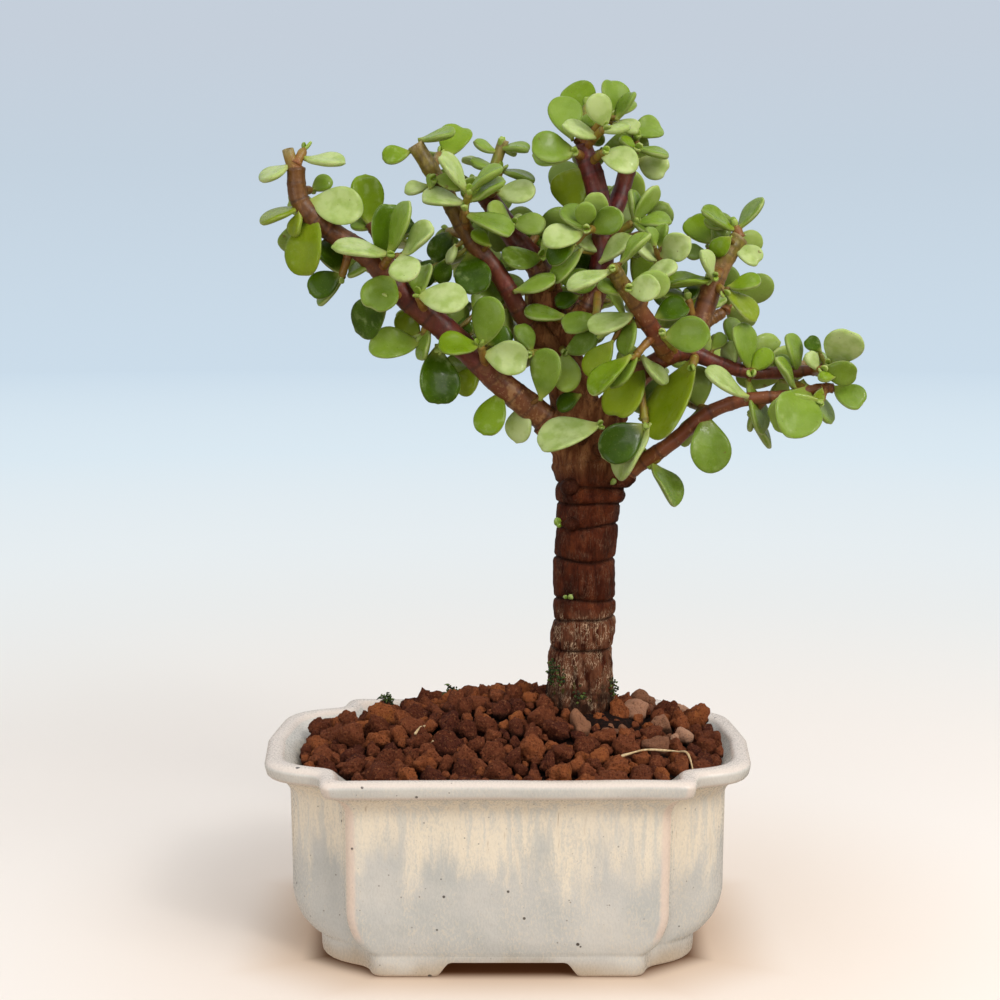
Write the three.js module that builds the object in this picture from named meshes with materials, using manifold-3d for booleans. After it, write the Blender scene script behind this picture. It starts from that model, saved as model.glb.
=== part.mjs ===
// Dwarf jade bonsai in a glazed pot with indented corners.
// Millimetres, +Z up. The crown is as wide as the X axis, and -Y is the front.
// Everything is laid out round the centre of the pot's foot and shifted at the end,
// so that the origin is the middle of the whole object's footprint.

import * as THREE from "three";
import { mergeVertices } from "three/addons/utils/BufferGeometryUtils.js";
import Module from "manifold-3d";

const wasm = await Module();
wasm.setup();

// Driving dimensions of the pot
const POT_HEIGHT = 52.2;
const RIM_HALF_LENGTH = 65;
const RIM_HALF_WIDTH = 46;
const LIP_HEIGHT = 4.2;
const FLOOR_TOP = 11;
const FLOOR_UNDERSIDE = 5.6;
const ARCH_HEIGHT = 3.7;
const DRAIN_RADIUS = 6;
const DRAIN_OFFSET = 24;
const MESH_SIZE = 22;
const MESH_THICKNESS = 1.2;
const MESH_BAR = 1.6;

// Driving dimensions of the soil
const SOIL_EDGE = 48.2;
const MOUND_HEIGHT = 13;
const MOUND_CENTRE = [8, 10];
const MOUND_SPREAD = [56, 30];
const GRANULE = 9.6;
const SOIL_FIT = 0.45;

// Driving dimensions of the tree
const GAP = 0.3;
const SOCKET_DEPTH = 3;
const COLLAR = 1.3;
const SOCKET_FIT = 0.5;
const SHOOT_RADIUS = 1;
const NODE_HALF = 0.7;
const LEAF_EDGE = 0.35;
const LEAF_TOP = 1.0;
const LEAF_UNDERSIDE = 1.1;
const TRUNK_SIDES = 10;
const TRUNK_FOOT = 44;
const LEAF_SEED = 7;

// The trunk's centre line, from the soil up into the thick leader
const TRUNK_LINE = [
  [20, 7, 60], [20, 7, 75], [21, 7, 84], [21, 7, 100], [22, 7, 117],
  [22, 7, 126], [20, 7, 136], [18, 8, 144], [14, 9, 157], [11, 10, 167], [10, 10, 173],
];

// Grooves between the trunk's rings: height and radius of the bark above each one
const TRUNK_RINGS = [
  [62, 8.6], [75, 8.5], [83.5, 8.3], [89, 8.3], [99.5, 8.3], [109, 8.3], [116, 9.2], [120, 9.3],
];

// Limbs: the node that each belongs to, its radii at both ends, where its collar ends, and its route
const LIMBS = {
  left: {
    node: "branch_left", radii: [3.8, 2.3], collar: 0.11,
    line: [
      [18, 6, 131], [9, 3, 140], [-2, 0, 149], [-14, -3, 161], [-27, -6, 172],
      [-36, -9, 182], [-46, -11, 189], [-53, -12, 196], [-54, -13, 205],
    ],
  },
  left_back: {
    node: "branch_left", radii: [1.7, 1.1],
    line: [[-11, -2, 159], [-22, 2, 171], [-30, 4, 179], [-35, 5, 188], [-37, 5, 191]],
  },
  upper_left: {
    node: "branch_upper_left", radii: [2.5, 2.2], collar: 0.17,
    line: [[13, 7, 157], [5, 3, 165], [-2, 1, 177], [-10, 0, 187], [-16, -1, 198], [-24, -2, 211]],
  },
  leader: {
    node: "branch_leader", radii: [3.5, 2.6], collar: 0.12,
    line: [[10, 10, 173], [8, 11, 180], [2, 12, 187], [-4, 12, 196], [-6, 12, 199]],
  },
  top: {
    node: "branch_top", radii: [3.2, 2.8], collar: 0.19,
    line: [[16, 8, 159], [22, 6, 169], [25, 5, 180], [25, 5, 191], [23, 5, 202], [19, 5, 212]],
  },
  top_right: {
    node: "branch_top", radii: [2.6, 2.1],
    line: [[25, 5, 187], [27, 8, 191], [30, 11, 198], [32, 12, 205], [33, 12, 210]],
  },
  right: {
    node: "branch_right", radii: [3.0, 1.3], collar: 0.12,
    line: [
      [23, 5, 134], [28, 1, 144], [35, -2, 152], [42, -4, 156], [48, -4, 157],
      [56, -4, 154], [64, -5, 152], [74, -5, 152], [83, -5, 153],
    ],
  },
  front: {
    node: "branch_right", radii: [2.5, 1.9],
    line: [[42, -4, 156], [39, -9, 161], [34, -14, 168], [29, -18, 175], [26, -20, 180]],
  },
  right_up: {
    node: "branch_right", radii: [3.0, 2.4],
    line: [[47, -4, 157], [50, -3, 164], [54, -1, 175], [58, 0, 183], [61, 1, 187]],
  },
  low_right: {
    node: "branch_low_right", radii: [2.3, 1.2], collar: 0.09,
    line: [
      [28, 4, 121], [35, 1, 127], [43, -3, 133], [52, -6, 141],
      [62, -8, 145], [72, -9, 146], [82, -9, 148], [85, -9, 148],
    ],
  },
  back_left: {
    node: "branch_back_left", radii: [2.6, 1.5], collar: 0.2,
    line: [[13, 12, 152], [9, 20, 161], [2, 27, 169], [-5, 33, 176], [-10, 37, 181]],
  },
  back_right: {
    node: "branch_back_right", radii: [2.8, 1.5], collar: 0.15,
    line: [[25, 12, 133], [34, 22, 144], [44, 30, 155], [55, 36, 163], [62, 38, 167]],
  },
  back_top: {
    node: "branch_back_top", radii: [2.4, 1.5], collar: 0.15,
    line: [[13, 15, 162], [19, 22, 170], [26, 28, 180], [32, 32, 188], [36, 33, 194]],
  },
};

// Short shoots. Each row: limb, where it starts on the limb from 0 to 1, its tip,
// pairs of leaves, turn of the last pair in degrees, leaf length, and degrees that the last pair opens.
const SHOOTS = [
  ["left", 1.0, [-53, -13, 207], 1, -25, 13, 108],
  ["left", 0.98, [-56, -12, 209], 0, 0, 0, 0],
  ["left", 1.0, [-52, -11, 209], 1, 60, 6.5, 25],
  ["left", 0.9, [-52, -19, 196], 1, 0, 14.5, 82],
  ["left", 0.92, [-51, -6, 199], 1, 0, 9, 70],
  ["left", 0.86, [-53, -10, 191], 1, 80, 15, 24],
  ["left", 0.74, [-43, -15, 185], 1, -70, 11, 65],
  ["left", 0.68, [-43, -9, 177], 2, 55, 12.5, 24],
  ["left", 0.58, [-30, -17, 182], 2, 0, 14.5, 72],
  ["left", 0.5, [-31, -13, 172], 1, 20, 15, 28],
  ["left", 0.44, [-23, -12, 172], 1, 0, 13.5, 75],
  ["left_back", 0.3, [-22, 7, 178], 1, 0, 13, 50],
  ["left", 0.43, [-22, -3, 162], 1, 90, 13.5, 40],
  ["left", 0.28, [-7, -9, 159], 1, 90, 13, 62],
  ["left", 0.36, [-17, -4, 158], 1, 0, 16, 25],
  ["left", 0.26, [-6, 3, 151], 1, 20, 11.5, 30],
  ["trunk", 0.8, [6, -7, 157], 1, 10, 13, 70],
  ["upper_left", 0.42, [-5, -3, 178], 1, 90, 12.5, 45],
  ["left", 0.2, [1, -1, 144], 1, 50, 13.5, 25],
  ["trunk", 0.81, [15, -2, 157], 1, -60, 13, 60],
  ["trunk", 0.6, [24, -6, 138], 1, -12, 16, 75],
  ["left", 0.56, [-38, 3, 181], 1, 0, 11, 60],
  ["left", 0.36, [-18, 9, 165], 2, 0, 12, 60],
  ["left", 0.76, [-48, -3, 193], 1, 0, 11, 60],
  ["left_back", 1.0, [-37, 5, 193], 1, 20, 14, 35],
  ["left_back", 0.62, [-29, 9, 187], 1, 30, 12, 60],
  ["left", 0.22, [-1, 8, 153], 1, 0, 12, 60],
  ["upper_left", 1.0, [-25, -4, 211], 1, 0, 10, 92],
  ["upper_left", 0.9, [-18, 5, 209], 1, 60, 10.5, 50],
  ["upper_left", 0.87, [-19, -6, 202], 1, -15, 8.5, 75],
  ["upper_left", 0.66, [-10, -8, 198], 1, 0, 12.5, 50],
  ["upper_left", 0.62, [-11, -6, 194], 1, 5, 12.5, 82],
  ["upper_left", 0.6, [-16, 9, 189], 1, 0, 12, 60],
  ["upper_left", 0.3, [-2, 8, 168], 2, 0, 12, 60],
  ["leader", 0.25, [9, 4, 182], 1, -15, 11.5, 75],
  ["trunk", 0.97, [13, 2, 177], 1, -15, 11.5, 75],
  ["trunk", 0.88, [16, -1, 166], 1, 0, 12.5, 75],
  ["leader", 0.95, [-2, 10, 211], 1, 0, 7.5, 85],
  ["leader", 0.95, [-2, 10, 205], 1, 5, 10, 85],
  ["leader", 0.95, [-1, 10, 213], 0, 0, 0, 0],
  ["leader", 0.9, [-3, 4, 200], 1, 0, 10.5, 75],
  ["leader", 0.6, [1, 6, 191], 1, 30, 10, 70],
  ["leader", 0.4, [8, 14, 188], 1, 0, 12, 65],
  ["leader", 0.7, [-2, 20, 192], 2, 0, 12, 60],
  ["leader", 1.0, [-9, 18, 202], 1, 0, 12, 60],
  ["top", 0.95, [25, -3, 215], 1, 0, 11.5, 78],
  ["top", 0.97, [25, -1, 218], 1, 90, 10, 42],
  ["top", 1.0, [27, 8, 219], 1, 0, 12, 27],
  ["top", 1.0, [21, 11, 222], 2, 0, 12, 58],
  ["top", 0.93, [18, 0, 209], 1, 0, 12.5, 75],
  ["top", 0.8, [22, 12, 198], 1, 135, 15.5, 70],
  ["top_right", 1.0, [34, 9, 213], 1, 0, 11, 60],
  ["top_right", 0.9, [34, 5, 210], 1, 25, 10.5, 75],
  ["top", 0.88, [25, -2, 209], 1, 35, 11.5, 75],
  ["top", 0.57, [21, -5, 189], 2, 0, 12, 75],
  ["top", 0.53, [33, 1, 191], 1, 90, 11, 50],
  ["top", 0.5, [38, 9, 189], 1, 90, 11, 50],
  ["top", 0.3, [23, -4, 166], 1, -10, 11, 70],
  ["top", 0.9, [25, 15, 210], 1, 0, 12.5, 60],
  ["top", 0.7, [25, 17, 197], 2, 0, 12.5, 60],
  ["top_right", 0.6, [33, 20, 200], 1, 0, 12.5, 60],
  ["front", 0.5, [39, -10, 181], 1, 0, 11, 45],
  ["front", 0.72, [30, -24, 174], 1, 0, 11.5, 75],
  ["front", 1.0, [25, -22, 182], 1, 0, 12.5, 57],
  ["front", 0.92, [26, -26, 179], 1, -20, 12, 75],
  ["front", 0.48, [32, -20, 169], 1, -35, 13.5, 70],
  ["front", 0.38, [30, -13, 166], 1, 90, 10.5, 60],
  ["front", 0.28, [33, -15, 157], 2, 0, 15, 35],
  ["right_up", 1.0, [60, 1, 190], 1, 0, 10.5, 57],
  ["right_up", 0.85, [59, 6, 185], 1, 0, 10, 70],
  ["right_up", 0.7, [55, 9, 185], 1, 145, 11.5, 60],
  ["right_up", 0.6, [54, -8, 177], 1, 0, 12.5, 78],
  ["right_up", 0.62, [53, -5, 177], 1, 0, 7.5, 20],
  ["right_up", 0.85, [59, -5, 183], 1, 30, 8.5, 70],
  ["right_up", 0.5, [56, -5, 173], 1, 45, 12, 60],
  ["right_up", 0.2, [47, -6, 171], 1, 0, 12, 65],
  ["right", 0.42, [40, -13, 162], 1, 0, 13.5, 78],
  ["right", 0.52, [48, -9, 154], 1, 60, 18, 24],
  ["right", 0.25, [36, -8, 139], 1, 40, 14.5, 50],
  ["right", 0.62, [56, -9, 152], 1, 105, 10, 70],
  ["right", 0.56, [51, -8, 152], 1, 20, 11.5, 75],
  ["right", 0.68, [62, 2, 156], 1, 0, 12, 50],
  ["right", 0.78, [68, 1, 154], 1, 0, 9, 40],
  ["right", 0.75, [63, -11, 152], 1, 75, 14.5, 75],
  ["right", 0.88, [75, -11, 151], 1, 65, 13, 75],
  ["right", 0.86, [75, -8, 150], 1, 55, 8.5, 60],
  ["right", 1.0, [83, -8, 154], 1, 0, 13, 50],
  ["right", 0.96, [81, -12, 153], 1, 35, 11, 75],
  ["right", 0.9, [79, 2, 154], 1, 0, 10, 60],
  ["low_right", 1.0, [87, -10, 148], 1, 90, 10.5, 37],
  ["low_right", 0.86, [81, -12, 145], 1, 0, 14.5, 75],
  ["low_right", 0.5, [54, -6, 140], 1, 40, 14, 22],
  ["low_right", 0.3, [39, -1, 128], 1, 90, 12.5, 72],
  ["low_right", 0.65, [65, -5, 142], 1, 0, 9.5, 30],
  ["low_right", 0.45, [49, 6, 143], 2, 0, 12, 60],
  ["low_right", 0.8, [73, 3, 150], 1, 0, 11, 60],
  ["back_left", 1.0, [-13, 38, 184], 2, 0, 12.5, 60],
  ["back_left", 0.75, [-8, 42, 181], 1, 20, 12.5, 60],
  ["back_left", 0.7, [-1, 28, 181], 2, 0, 12.5, 60],
  ["back_left", 0.5, [-2, 32, 164], 2, 30, 12.5, 60],
  ["back_left", 0.35, [6, 32, 173], 1, 10, 12.5, 60],
  ["back_left", 0.3, [11, 30, 164], 1, 60, 12.5, 60],
  ["back_right", 1.0, [64, 40, 170], 2, 0, 12.5, 60],
  ["back_right", 0.8, [57, 40, 157], 2, 20, 12.5, 60],
  ["back_right", 0.7, [51, 30, 168], 2, 10, 12.5, 60],
  ["back_right", 0.5, [43, 36, 163], 1, 0, 12.5, 60],
  ["back_right", 0.45, [45, 34, 146], 2, 30, 12.5, 60],
  ["back_right", 0.3, [32, 30, 149], 2, 0, 12.5, 60],
  ["back_top", 1.0, [37, 35, 196], 2, 0, 12.5, 60],
  ["back_top", 0.8, [30, 38, 194], 2, 20, 12.5, 60],
  ["back_top", 0.65, [35, 30, 183], 2, 40, 12.5, 60],
  ["back_top", 0.5, [21, 34, 181], 1, 0, 12.5, 60],
  ["back_top", 0.3, [24, 32, 169], 1, 50, 12.5, 60],
];

// Small vector helpers on plain arrays
const add = (a, b) => [a[0] + b[0], a[1] + b[1], a[2] + b[2]];
const scale = (a, k) => [a[0] * k, a[1] * k, a[2] * k];
const minus = (a, b) => [a[0] - b[0], a[1] - b[1], a[2] - b[2]];
const dot = (a, b) => a[0] * b[0] + a[1] * b[1] + a[2] * b[2];
const cross = (a, b) => [a[1] * b[2] - a[2] * b[1], a[2] * b[0] - a[0] * b[2], a[0] * b[1] - a[1] * b[0]];
const unit = (a) => scale(a, 1 / Math.sqrt(dot(a, a)));
const mix = (a, b, k) => a + (b - a) * k;
const radians = (degrees) => (degrees * Math.PI) / 180;
const UP = [0, 0, 1];

function seededRandom(seed) {
  let state = seed;
  return () => {
    state = (Math.imul(state, 1664525) + 1013904223) >>> 0;
    return state / 4294967296;
  };
}

// Closed meshes in and out of the boolean library
function toSolid(geometry) {
  const bare = geometry.clone();
  bare.deleteAttribute("normal");
  bare.deleteAttribute("uv");
  const merged = mergeVertices(bare, 1e-4);
  return new wasm.Manifold(new wasm.Mesh({
    numProp: 3,
    vertProperties: new Float32Array(merged.attributes.position.array),
    triVerts: new Uint32Array(merged.index.array),
  }));
}

function toGeometry(solid) {
  const mesh = solid.getMesh();
  const geometry = new THREE.BufferGeometry();
  geometry.setAttribute("position", new THREE.BufferAttribute(new Float32Array(mesh.vertProperties), 3));
  geometry.setIndex(new THREE.BufferAttribute(new Uint32Array(mesh.triVerts), 1));
  geometry.computeVertexNormals();
  return geometry;
}

function fromPoints(points, triangles) {
  const geometry = new THREE.BufferGeometry();
  geometry.setAttribute("position", new THREE.Float32BufferAttribute(points.flat(), 3));
  geometry.setIndex(triangles);
  return geometry;
}

// A solid through rings of equal length, each running anticlockwise as seen from the end it grows to
function loft(rings) {
  const count = rings[0].length;
  const triangles = [];
  for (let r = 0; r + 1 < rings.length; r += 1) {
    for (let i = 0; i < count; i += 1) {
      const a = r * count + i;
      const b = r * count + ((i + 1) % count);
      triangles.push(a, b, b + count, a, b + count, a + count);
    }
  }
  const points = rings.flat();
  for (const ring of [0, rings.length - 1]) {
    const middle = scale(rings[ring].reduce(add), 1 / count);
    points.push(middle);
    for (let i = 0; i < count; i += 1) {
      const a = ring * count + i;
      const b = ring * count + ((i + 1) % count);
      triangles.push(...(ring ? [a, b, points.length - 1] : [b, a, points.length - 1]));
    }
  }
  return toSolid(fromPoints(points, triangles));
}

// Pot outline. The straight side ends at `side`, the corner is indented to `notch`,
// and the end lobe turns at (lobe, shoulder) and reaches `end`.
function roundedCorner(before, corner, after, radius, steps) {
  const back = unit([before[0] - corner[0], before[1] - corner[1], 0]);
  const on = unit([after[0] - corner[0], after[1] - corner[1], 0]);
  const points = [];
  for (let i = 0; i <= steps; i += 1) {
    const t = i / steps;
    const x = corner[0] + radius * (back[0] * (1 - t) ** 2 + on[0] * t ** 2);
    const y = corner[1] + radius * (back[1] * (1 - t) ** 2 + on[1] * t ** 2);
    points.push([x, y]);
  }
  return points;
}

function potOutline({ z, side, width, notch, lobe, shoulder, end }) {
  const corners = [[0, width], [side, width], [side + 1.4, notch], [lobe, shoulder], [end, 0]];
  const quarter = [
    ...roundedCorner(corners[0], corners[1], corners[2], 3, 2),
    ...roundedCorner(corners[1], corners[2], corners[3], 3.4, 2),
    ...roundedCorner(corners[2], corners[3], corners[4], 9, 2),
  ];
  const mirrored = quarter.map(([x, y]) => [x, -y]).reverse();
  const right = [...quarter, corners[4], ...mirrored];
  const left = right.map(([x, y]) => [-x, -y]);
  return [...right, ...left].reverse().map(([x, y]) => [x, y, z]);
}

const rimLevel = (z, inset) => ({
  z,
  side: RIM_HALF_LENGTH - 18.5 - inset * 0.9,
  width: RIM_HALF_WIDTH - inset,
  notch: RIM_HALF_WIDTH - 10.5 - inset,
  lobe: RIM_HALF_LENGTH - 2.5 - inset,
  shoulder: RIM_HALF_WIDTH - 15 - inset,
  end: RIM_HALF_LENGTH - inset,
});

const FOOT_LEVEL = { side: 34.5, width: 38.2, notch: 32, lobe: 48.5, shoulder: 25.5, end: 50.5 };
const BODY_INSET = 6.2;

// A level between the body and the narrower foot ring: 0 is the body, 1 is the foot
function lowerLevel(z, share) {
  const body = rimLevel(z, BODY_INSET);
  const level = { z };
  for (const key of Object.keys(FOOT_LEVEL)) level[key] = mix(body[key], FOOT_LEVEL[key], share);
  return level;
}

function shrink(level, inset) {
  return {
    z: level.z,
    side: level.side - inset * 0.9,
    width: level.width - inset,
    notch: level.notch - inset,
    lobe: level.lobe - inset,
    shoulder: level.shoulder - inset,
    end: level.end - inset,
  };
}

// The space inside the pot, which the soil fills a little smaller
function innerLevels(gap) {
  return [
    shrink(lowerLevel(FLOOR_TOP + gap, 0.45), 5 + gap),
    shrink(rimLevel(FLOOR_TOP + 8, BODY_INSET), 5 + gap),
    rimLevel(POT_HEIGHT - 6, BODY_INSET + 3.8 + gap),
  ];
}

function box(x, y, z, at) {
  return toSolid(new THREE.BoxGeometry(x, y, z)).translate(at);
}

function archCutter(topHalf, bottomHalf) {
  const shape = new THREE.Shape();
  shape.moveTo(-bottomHalf, -1);
  shape.lineTo(bottomHalf, -1);
  shape.lineTo(bottomHalf, 0);
  shape.lineTo(topHalf + 0.8, ARCH_HEIGHT - 0.6);
  shape.lineTo(topHalf, ARCH_HEIGHT);
  shape.lineTo(-topHalf, ARCH_HEIGHT);
  shape.lineTo(-topHalf - 0.8, ARCH_HEIGHT - 0.6);
  shape.lineTo(-bottomHalf, 0);
  const length = 4 * RIM_HALF_LENGTH;
  const cutter = new THREE.ExtrudeGeometry(shape, { depth: length, bevelEnabled: false });
  cutter.translate(0, 0, -length / 2).rotateX(Math.PI / 2);
  return cutter;
}

function makePot() {
  const outside = loft([
    lowerLevel(0, 1),
    lowerLevel(FLOOR_UNDERSIDE, 0.97),
    lowerLevel(FLOOR_UNDERSIDE + 1, 0.72),
    lowerLevel(FLOOR_UNDERSIDE + 3.5, 0.36),
    lowerLevel(FLOOR_UNDERSIDE + 9, 0),
    rimLevel(POT_HEIGHT - 9, BODY_INSET - 0.3),
    rimLevel(POT_HEIGHT - LIP_HEIGHT - 1.4, BODY_INSET - 2.8),
    rimLevel(POT_HEIGHT - LIP_HEIGHT, 0.3),
    rimLevel(POT_HEIGHT - 1, 0),
    rimLevel(POT_HEIGHT, 1),
  ].map(potOutline));
  const inside = loft([
    ...innerLevels(0),
    rimLevel(POT_HEIGHT - 0.8, 4.8),
    rimLevel(POT_HEIGHT + 1, 3.4),
  ].map(potOutline));
  const recess = loft([
    shrink(lowerLevel(-1, 1), 7),
    shrink(lowerLevel(FLOOR_UNDERSIDE, 1), 8),
  ].map(potOutline));
  const frontArch = toSolid(archCutter(14.6, 18.2));
  const endArch = toSolid(archCutter(8.6, 12).rotateZ(Math.PI / 2));
  let pot = outside.subtract(inside).subtract(recess).subtract(frontArch).subtract(endArch);
  for (const sign of [-1, 1]) {
    const hole = new THREE.CylinderGeometry(DRAIN_RADIUS, DRAIN_RADIUS, 3 * FLOOR_TOP, 16).rotateX(Math.PI / 2);
    pot = pot.subtract(toSolid(hole).translate([sign * DRAIN_OFFSET, 0, 0]));
  }
  return pot;
}

// A square of plastic mesh that keeps the soil over a drain hole
function makeDrainMesh(sign) {
  const cells = 3;
  const pitch = (MESH_SIZE - MESH_BAR) / cells;
  const opening = pitch - MESH_BAR;
  let mesh = box(MESH_SIZE, MESH_SIZE, MESH_THICKNESS, [0, 0, MESH_THICKNESS / 2]);
  for (let i = 0; i < cells; i += 1) {
    for (let j = 0; j < cells; j += 1) {
      const x = (i - (cells - 1) / 2) * pitch;
      const y = (j - (cells - 1) / 2) * pitch;
      mesh = mesh.subtract(box(opening, opening, 3 * MESH_THICKNESS, [x, y, 0]));
    }
  }
  return mesh.translate([sign * DRAIN_OFFSET, 0, FLOOR_TOP + GAP]);
}

// Soil: a mound whose top is a relief of granules, one low pyramid in each cell of a hexagonal lattice
function soilHeight(x, y) {
  const dx = (x - MOUND_CENTRE[0]) / MOUND_SPREAD[0];
  const dy = (y - MOUND_CENTRE[1]) / MOUND_SPREAD[1];
  return SOIL_EDGE + MOUND_HEIGHT * Math.exp(-dx * dx - dy * dy);
}

function makeGranuleTop() {
  const draw = seededRandom(11);
  const step = GRANULE / Math.sqrt(3);
  const columns = Math.ceil(RIM_HALF_LENGTH / step) + 1;
  const rows = Math.ceil(RIM_HALF_WIDTH / (step * 0.866)) + 1;
  const width = 2 * columns + 1;
  const points = [];
  const triangles = [];
  for (let j = -rows; j <= rows; j += 1) {
    for (let i = -columns; i <= columns; i += 1) {
      const x = step * (i + (Math.abs(j) % 2) / 2) + 1.4 * (draw() - 0.5);
      const y = step * 0.866 * j + 1.4 * (draw() - 0.5);
      const shift = Math.floor(j / 2);
      const isTop = (((i - shift) - j) % 3 + 3) % 3 === 0;
      const relief = isTop ? 1.6 + 1.4 * draw() : -0.5 - 0.8 * draw();
      points.push([x, y, soilHeight(x, y) + relief]);
    }
  }
  const at = (i, j) => (j + rows) * width + (i + columns);
  for (let j = -rows; j < rows; j += 1) {
    for (let i = -columns; i < columns; i += 1) {
      const even = Math.abs(j) % 2 === 0;
      const [a, b, c, d] = [at(i, j), at(i + 1, j), at(i + 1, j + 1), at(i, j + 1)];
      triangles.push(...(even ? [a, b, d, b, c, d] : [a, b, c, a, c, d]));
    }
  }
  return closeBelow(points, triangles, width, 2 * rows + 1);
}

// Walls and a flat bottom under a grid of points
function closeBelow(points, triangles, width, height) {
  const rim = [];
  for (let i = 0; i < width - 1; i += 1) rim.push(i);
  for (let j = 0; j < height - 1; j += 1) rim.push(j * width + width - 1);
  for (let i = width - 1; i > 0; i -= 1) rim.push((height - 1) * width + i);
  for (let j = height - 1; j > 0; j -= 1) rim.push(j * width);
  const first = points.length;
  for (const index of rim) points.push([points[index][0], points[index][1], FLOOR_TOP - 2]);
  const centre = points.length;
  points.push([0, 0, FLOOR_TOP - 2]);
  for (let k = 0; k < rim.length; k += 1) {
    const next = (k + 1) % rim.length;
    triangles.push(rim[k], first + k, rim[next], rim[next], first + k, first + next);
    triangles.push(first + next, first + k, centre);
  }
  return toSolid(fromPoints(points, triangles));
}

function makeSoil() {
  const plug = loft([
    ...innerLevels(SOIL_FIT),
    rimLevel(POT_HEIGHT - 0.8, 4.8 + SOIL_FIT),
    rimLevel(POT_HEIGHT + 16, 4.8 + SOIL_FIT),
  ].map(potOutline));
  let soil = plug.intersect(makeGranuleTop());
  for (const sign of [-1, 1]) {
    const side = MESH_SIZE + 2 * GAP;
    const height = 2 * (MESH_THICKNESS + 2 * GAP);
    soil = soil.subtract(box(side, side, height, [sign * DRAIN_OFFSET, 0, FLOOR_TOP]));
  }
  const [x, y] = TRUNK_LINE[0];
  const reach = TRUNK_RINGS[0][1] + 0.2 + GAP / Math.cos(Math.PI / TRUNK_SIDES);
  const hole = loft([TRUNK_FOOT - GAP, 2 * POT_HEIGHT].map((z) => circle([x, y, z], reach, TRUNK_SIDES)));
  return soil.subtract(hole);
}

function circle(centre, radius, sides) {
  return Array.from({ length: sides }, (_, i) => {
    const angle = (2 * Math.PI * i) / sides;
    return add(centre, [radius * Math.cos(angle), radius * Math.sin(angle), 0]);
  });
}

// Smooth curve through the points of a route
function curvePoint(line, t) {
  const n = line.length - 1;
  const s = Math.min(t, 1) * n;
  const i = Math.min(Math.floor(s), n - 1);
  const w = s - i;
  const p1 = line[i];
  const p2 = line[i + 1];
  const p0 = i > 0 ? line[i - 1] : minus(scale(p1, 2), p2);
  const p3 = i + 2 <= n ? line[i + 2] : minus(scale(p2, 2), p1);
  return [0, 1, 2].map((k) => {
    const v0 = (p2[k] - p0[k]) / 2;
    const v1 = (p3[k] - p1[k]) / 2;
    const cubic = (2 * p1[k] - 2 * p2[k] + v0 + v1) * w ** 3;
    const square = (-3 * p1[k] + 3 * p2[k] - 2 * v0 - v1) * w * w;
    return cubic + square + v0 * w + p1[k];
  });
}

function curveLength(line) {
  const parts = 40;
  let length = 0;
  for (let i = 0; i < parts; i += 1) {
    const step = minus(curvePoint(line, (i + 1) / parts), curvePoint(line, i / parts));
    length += Math.sqrt(dot(step, step));
  }
  return length;
}

// A tube through points, with a radius at each one
function tube(points, radii, sides) {
  let across = null;
  const rings = points.map((point, i) => {
    const before = points[Math.max(i - 1, 0)];
    const after = points[Math.min(i + 1, points.length - 1)];
    const along = unit(minus(after, before));
    const guess = across ?? (Math.abs(along[1]) < 0.9 ? [0, 1, 0] : [1, 0, 0]);
    across = unit(minus(guess, scale(along, dot(guess, along))));
    const other = cross(along, across);
    return Array.from({ length: sides }, (_, k) => {
      const angle = (2 * Math.PI * k) / sides;
      const spoke = add(scale(across, Math.cos(angle)), scale(other, Math.sin(angle)));
      return add(point, scale(spoke, radii[i]));
    });
  });
  return loft(rings);
}

function limbTube(limb, stops, grow) {
  const points = stops.map((t) => curvePoint(limb.line, t));
  const radii = stops.map((t) => mix(limb.radii[0], limb.radii[1], t) + grow);
  return tube(points, radii, limb.radii[0] > 2.4 ? 6 : 5);
}

// Leaves. Half-width along the blade, as a share of the widest place
const WIDEST = 0.62;

function halfWidth(u) {
  if (u < WIDEST) return 0.1 + 0.9 * Math.sin(((Math.PI / 2) * u) / WIDEST) ** 0.95;
  return Math.sqrt(Math.max(0, 1 - ((u - WIDEST) / (1 - WIDEST)) ** 2));
}

function leafPoint(leaf, u, v) {
  const side = v * halfWidth(u) * leaf.half;
  const lift = leaf.bend * leaf.length * u * u + leaf.cup * leaf.half * v * v;
  const onBlade = add(add(leaf.base, scale(leaf.along, leaf.length * u)), scale(leaf.across, side));
  return add(onBlade, scale(leaf.face, lift));
}

const SAMPLES = [
  [0.42, 0], [0.62, 0], [0.82, 0], [1.0, 0], [0.5, -1], [0.5, 1], [0.68, -1], [0.68, 1],
  [0.85, -1], [0.85, 1], [0.96, -1], [0.96, 1], [0.62, -0.5], [0.62, 0.5], [0.85, -0.45], [0.85, 0.45],
  [0.3, -1], [0.3, 1],
];

// Direction square to a shoot, turned round it by an angle
function spoke(axis, turn) {
  const side = unit(cross(axis, Math.abs(axis[2]) < 0.9 ? UP : [0, 1, 0]));
  return add(scale(side, Math.cos(turn)), scale(cross(side, axis), Math.sin(turn)));
}

function makeLeaf(base, axis, turn, open, twist, length, half, bend, cup) {
  const outward = spoke(axis, turn);
  const along = add(scale(axis, Math.cos(open)), scale(outward, Math.sin(open)));
  const inner = minus(scale(axis, Math.sin(open)), scale(outward, Math.cos(open)));
  const lit = unit(add(inner, scale(minus(UP, scale(along, dot(along, UP))), 0.25)));
  const wide = cross(lit, along);
  const face = add(scale(lit, Math.cos(twist)), scale(wide, Math.sin(twist)));
  const across = minus(scale(wide, Math.cos(twist)), scale(lit, Math.sin(twist)));
  const leaf = { base, along, face, across, length, half, bend, cup };
  leaf.samples = SAMPLES.map(([u, v]) => leafPoint(leaf, u, v));
  leaf.centre = leafPoint(leaf, WIDEST, 0);
  return leaf;
}

// How far leaves keep from each other and from stems
const LEAF_CLEARANCE = 0.6;
const STEM_CLEARANCE = 1.3;

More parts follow.
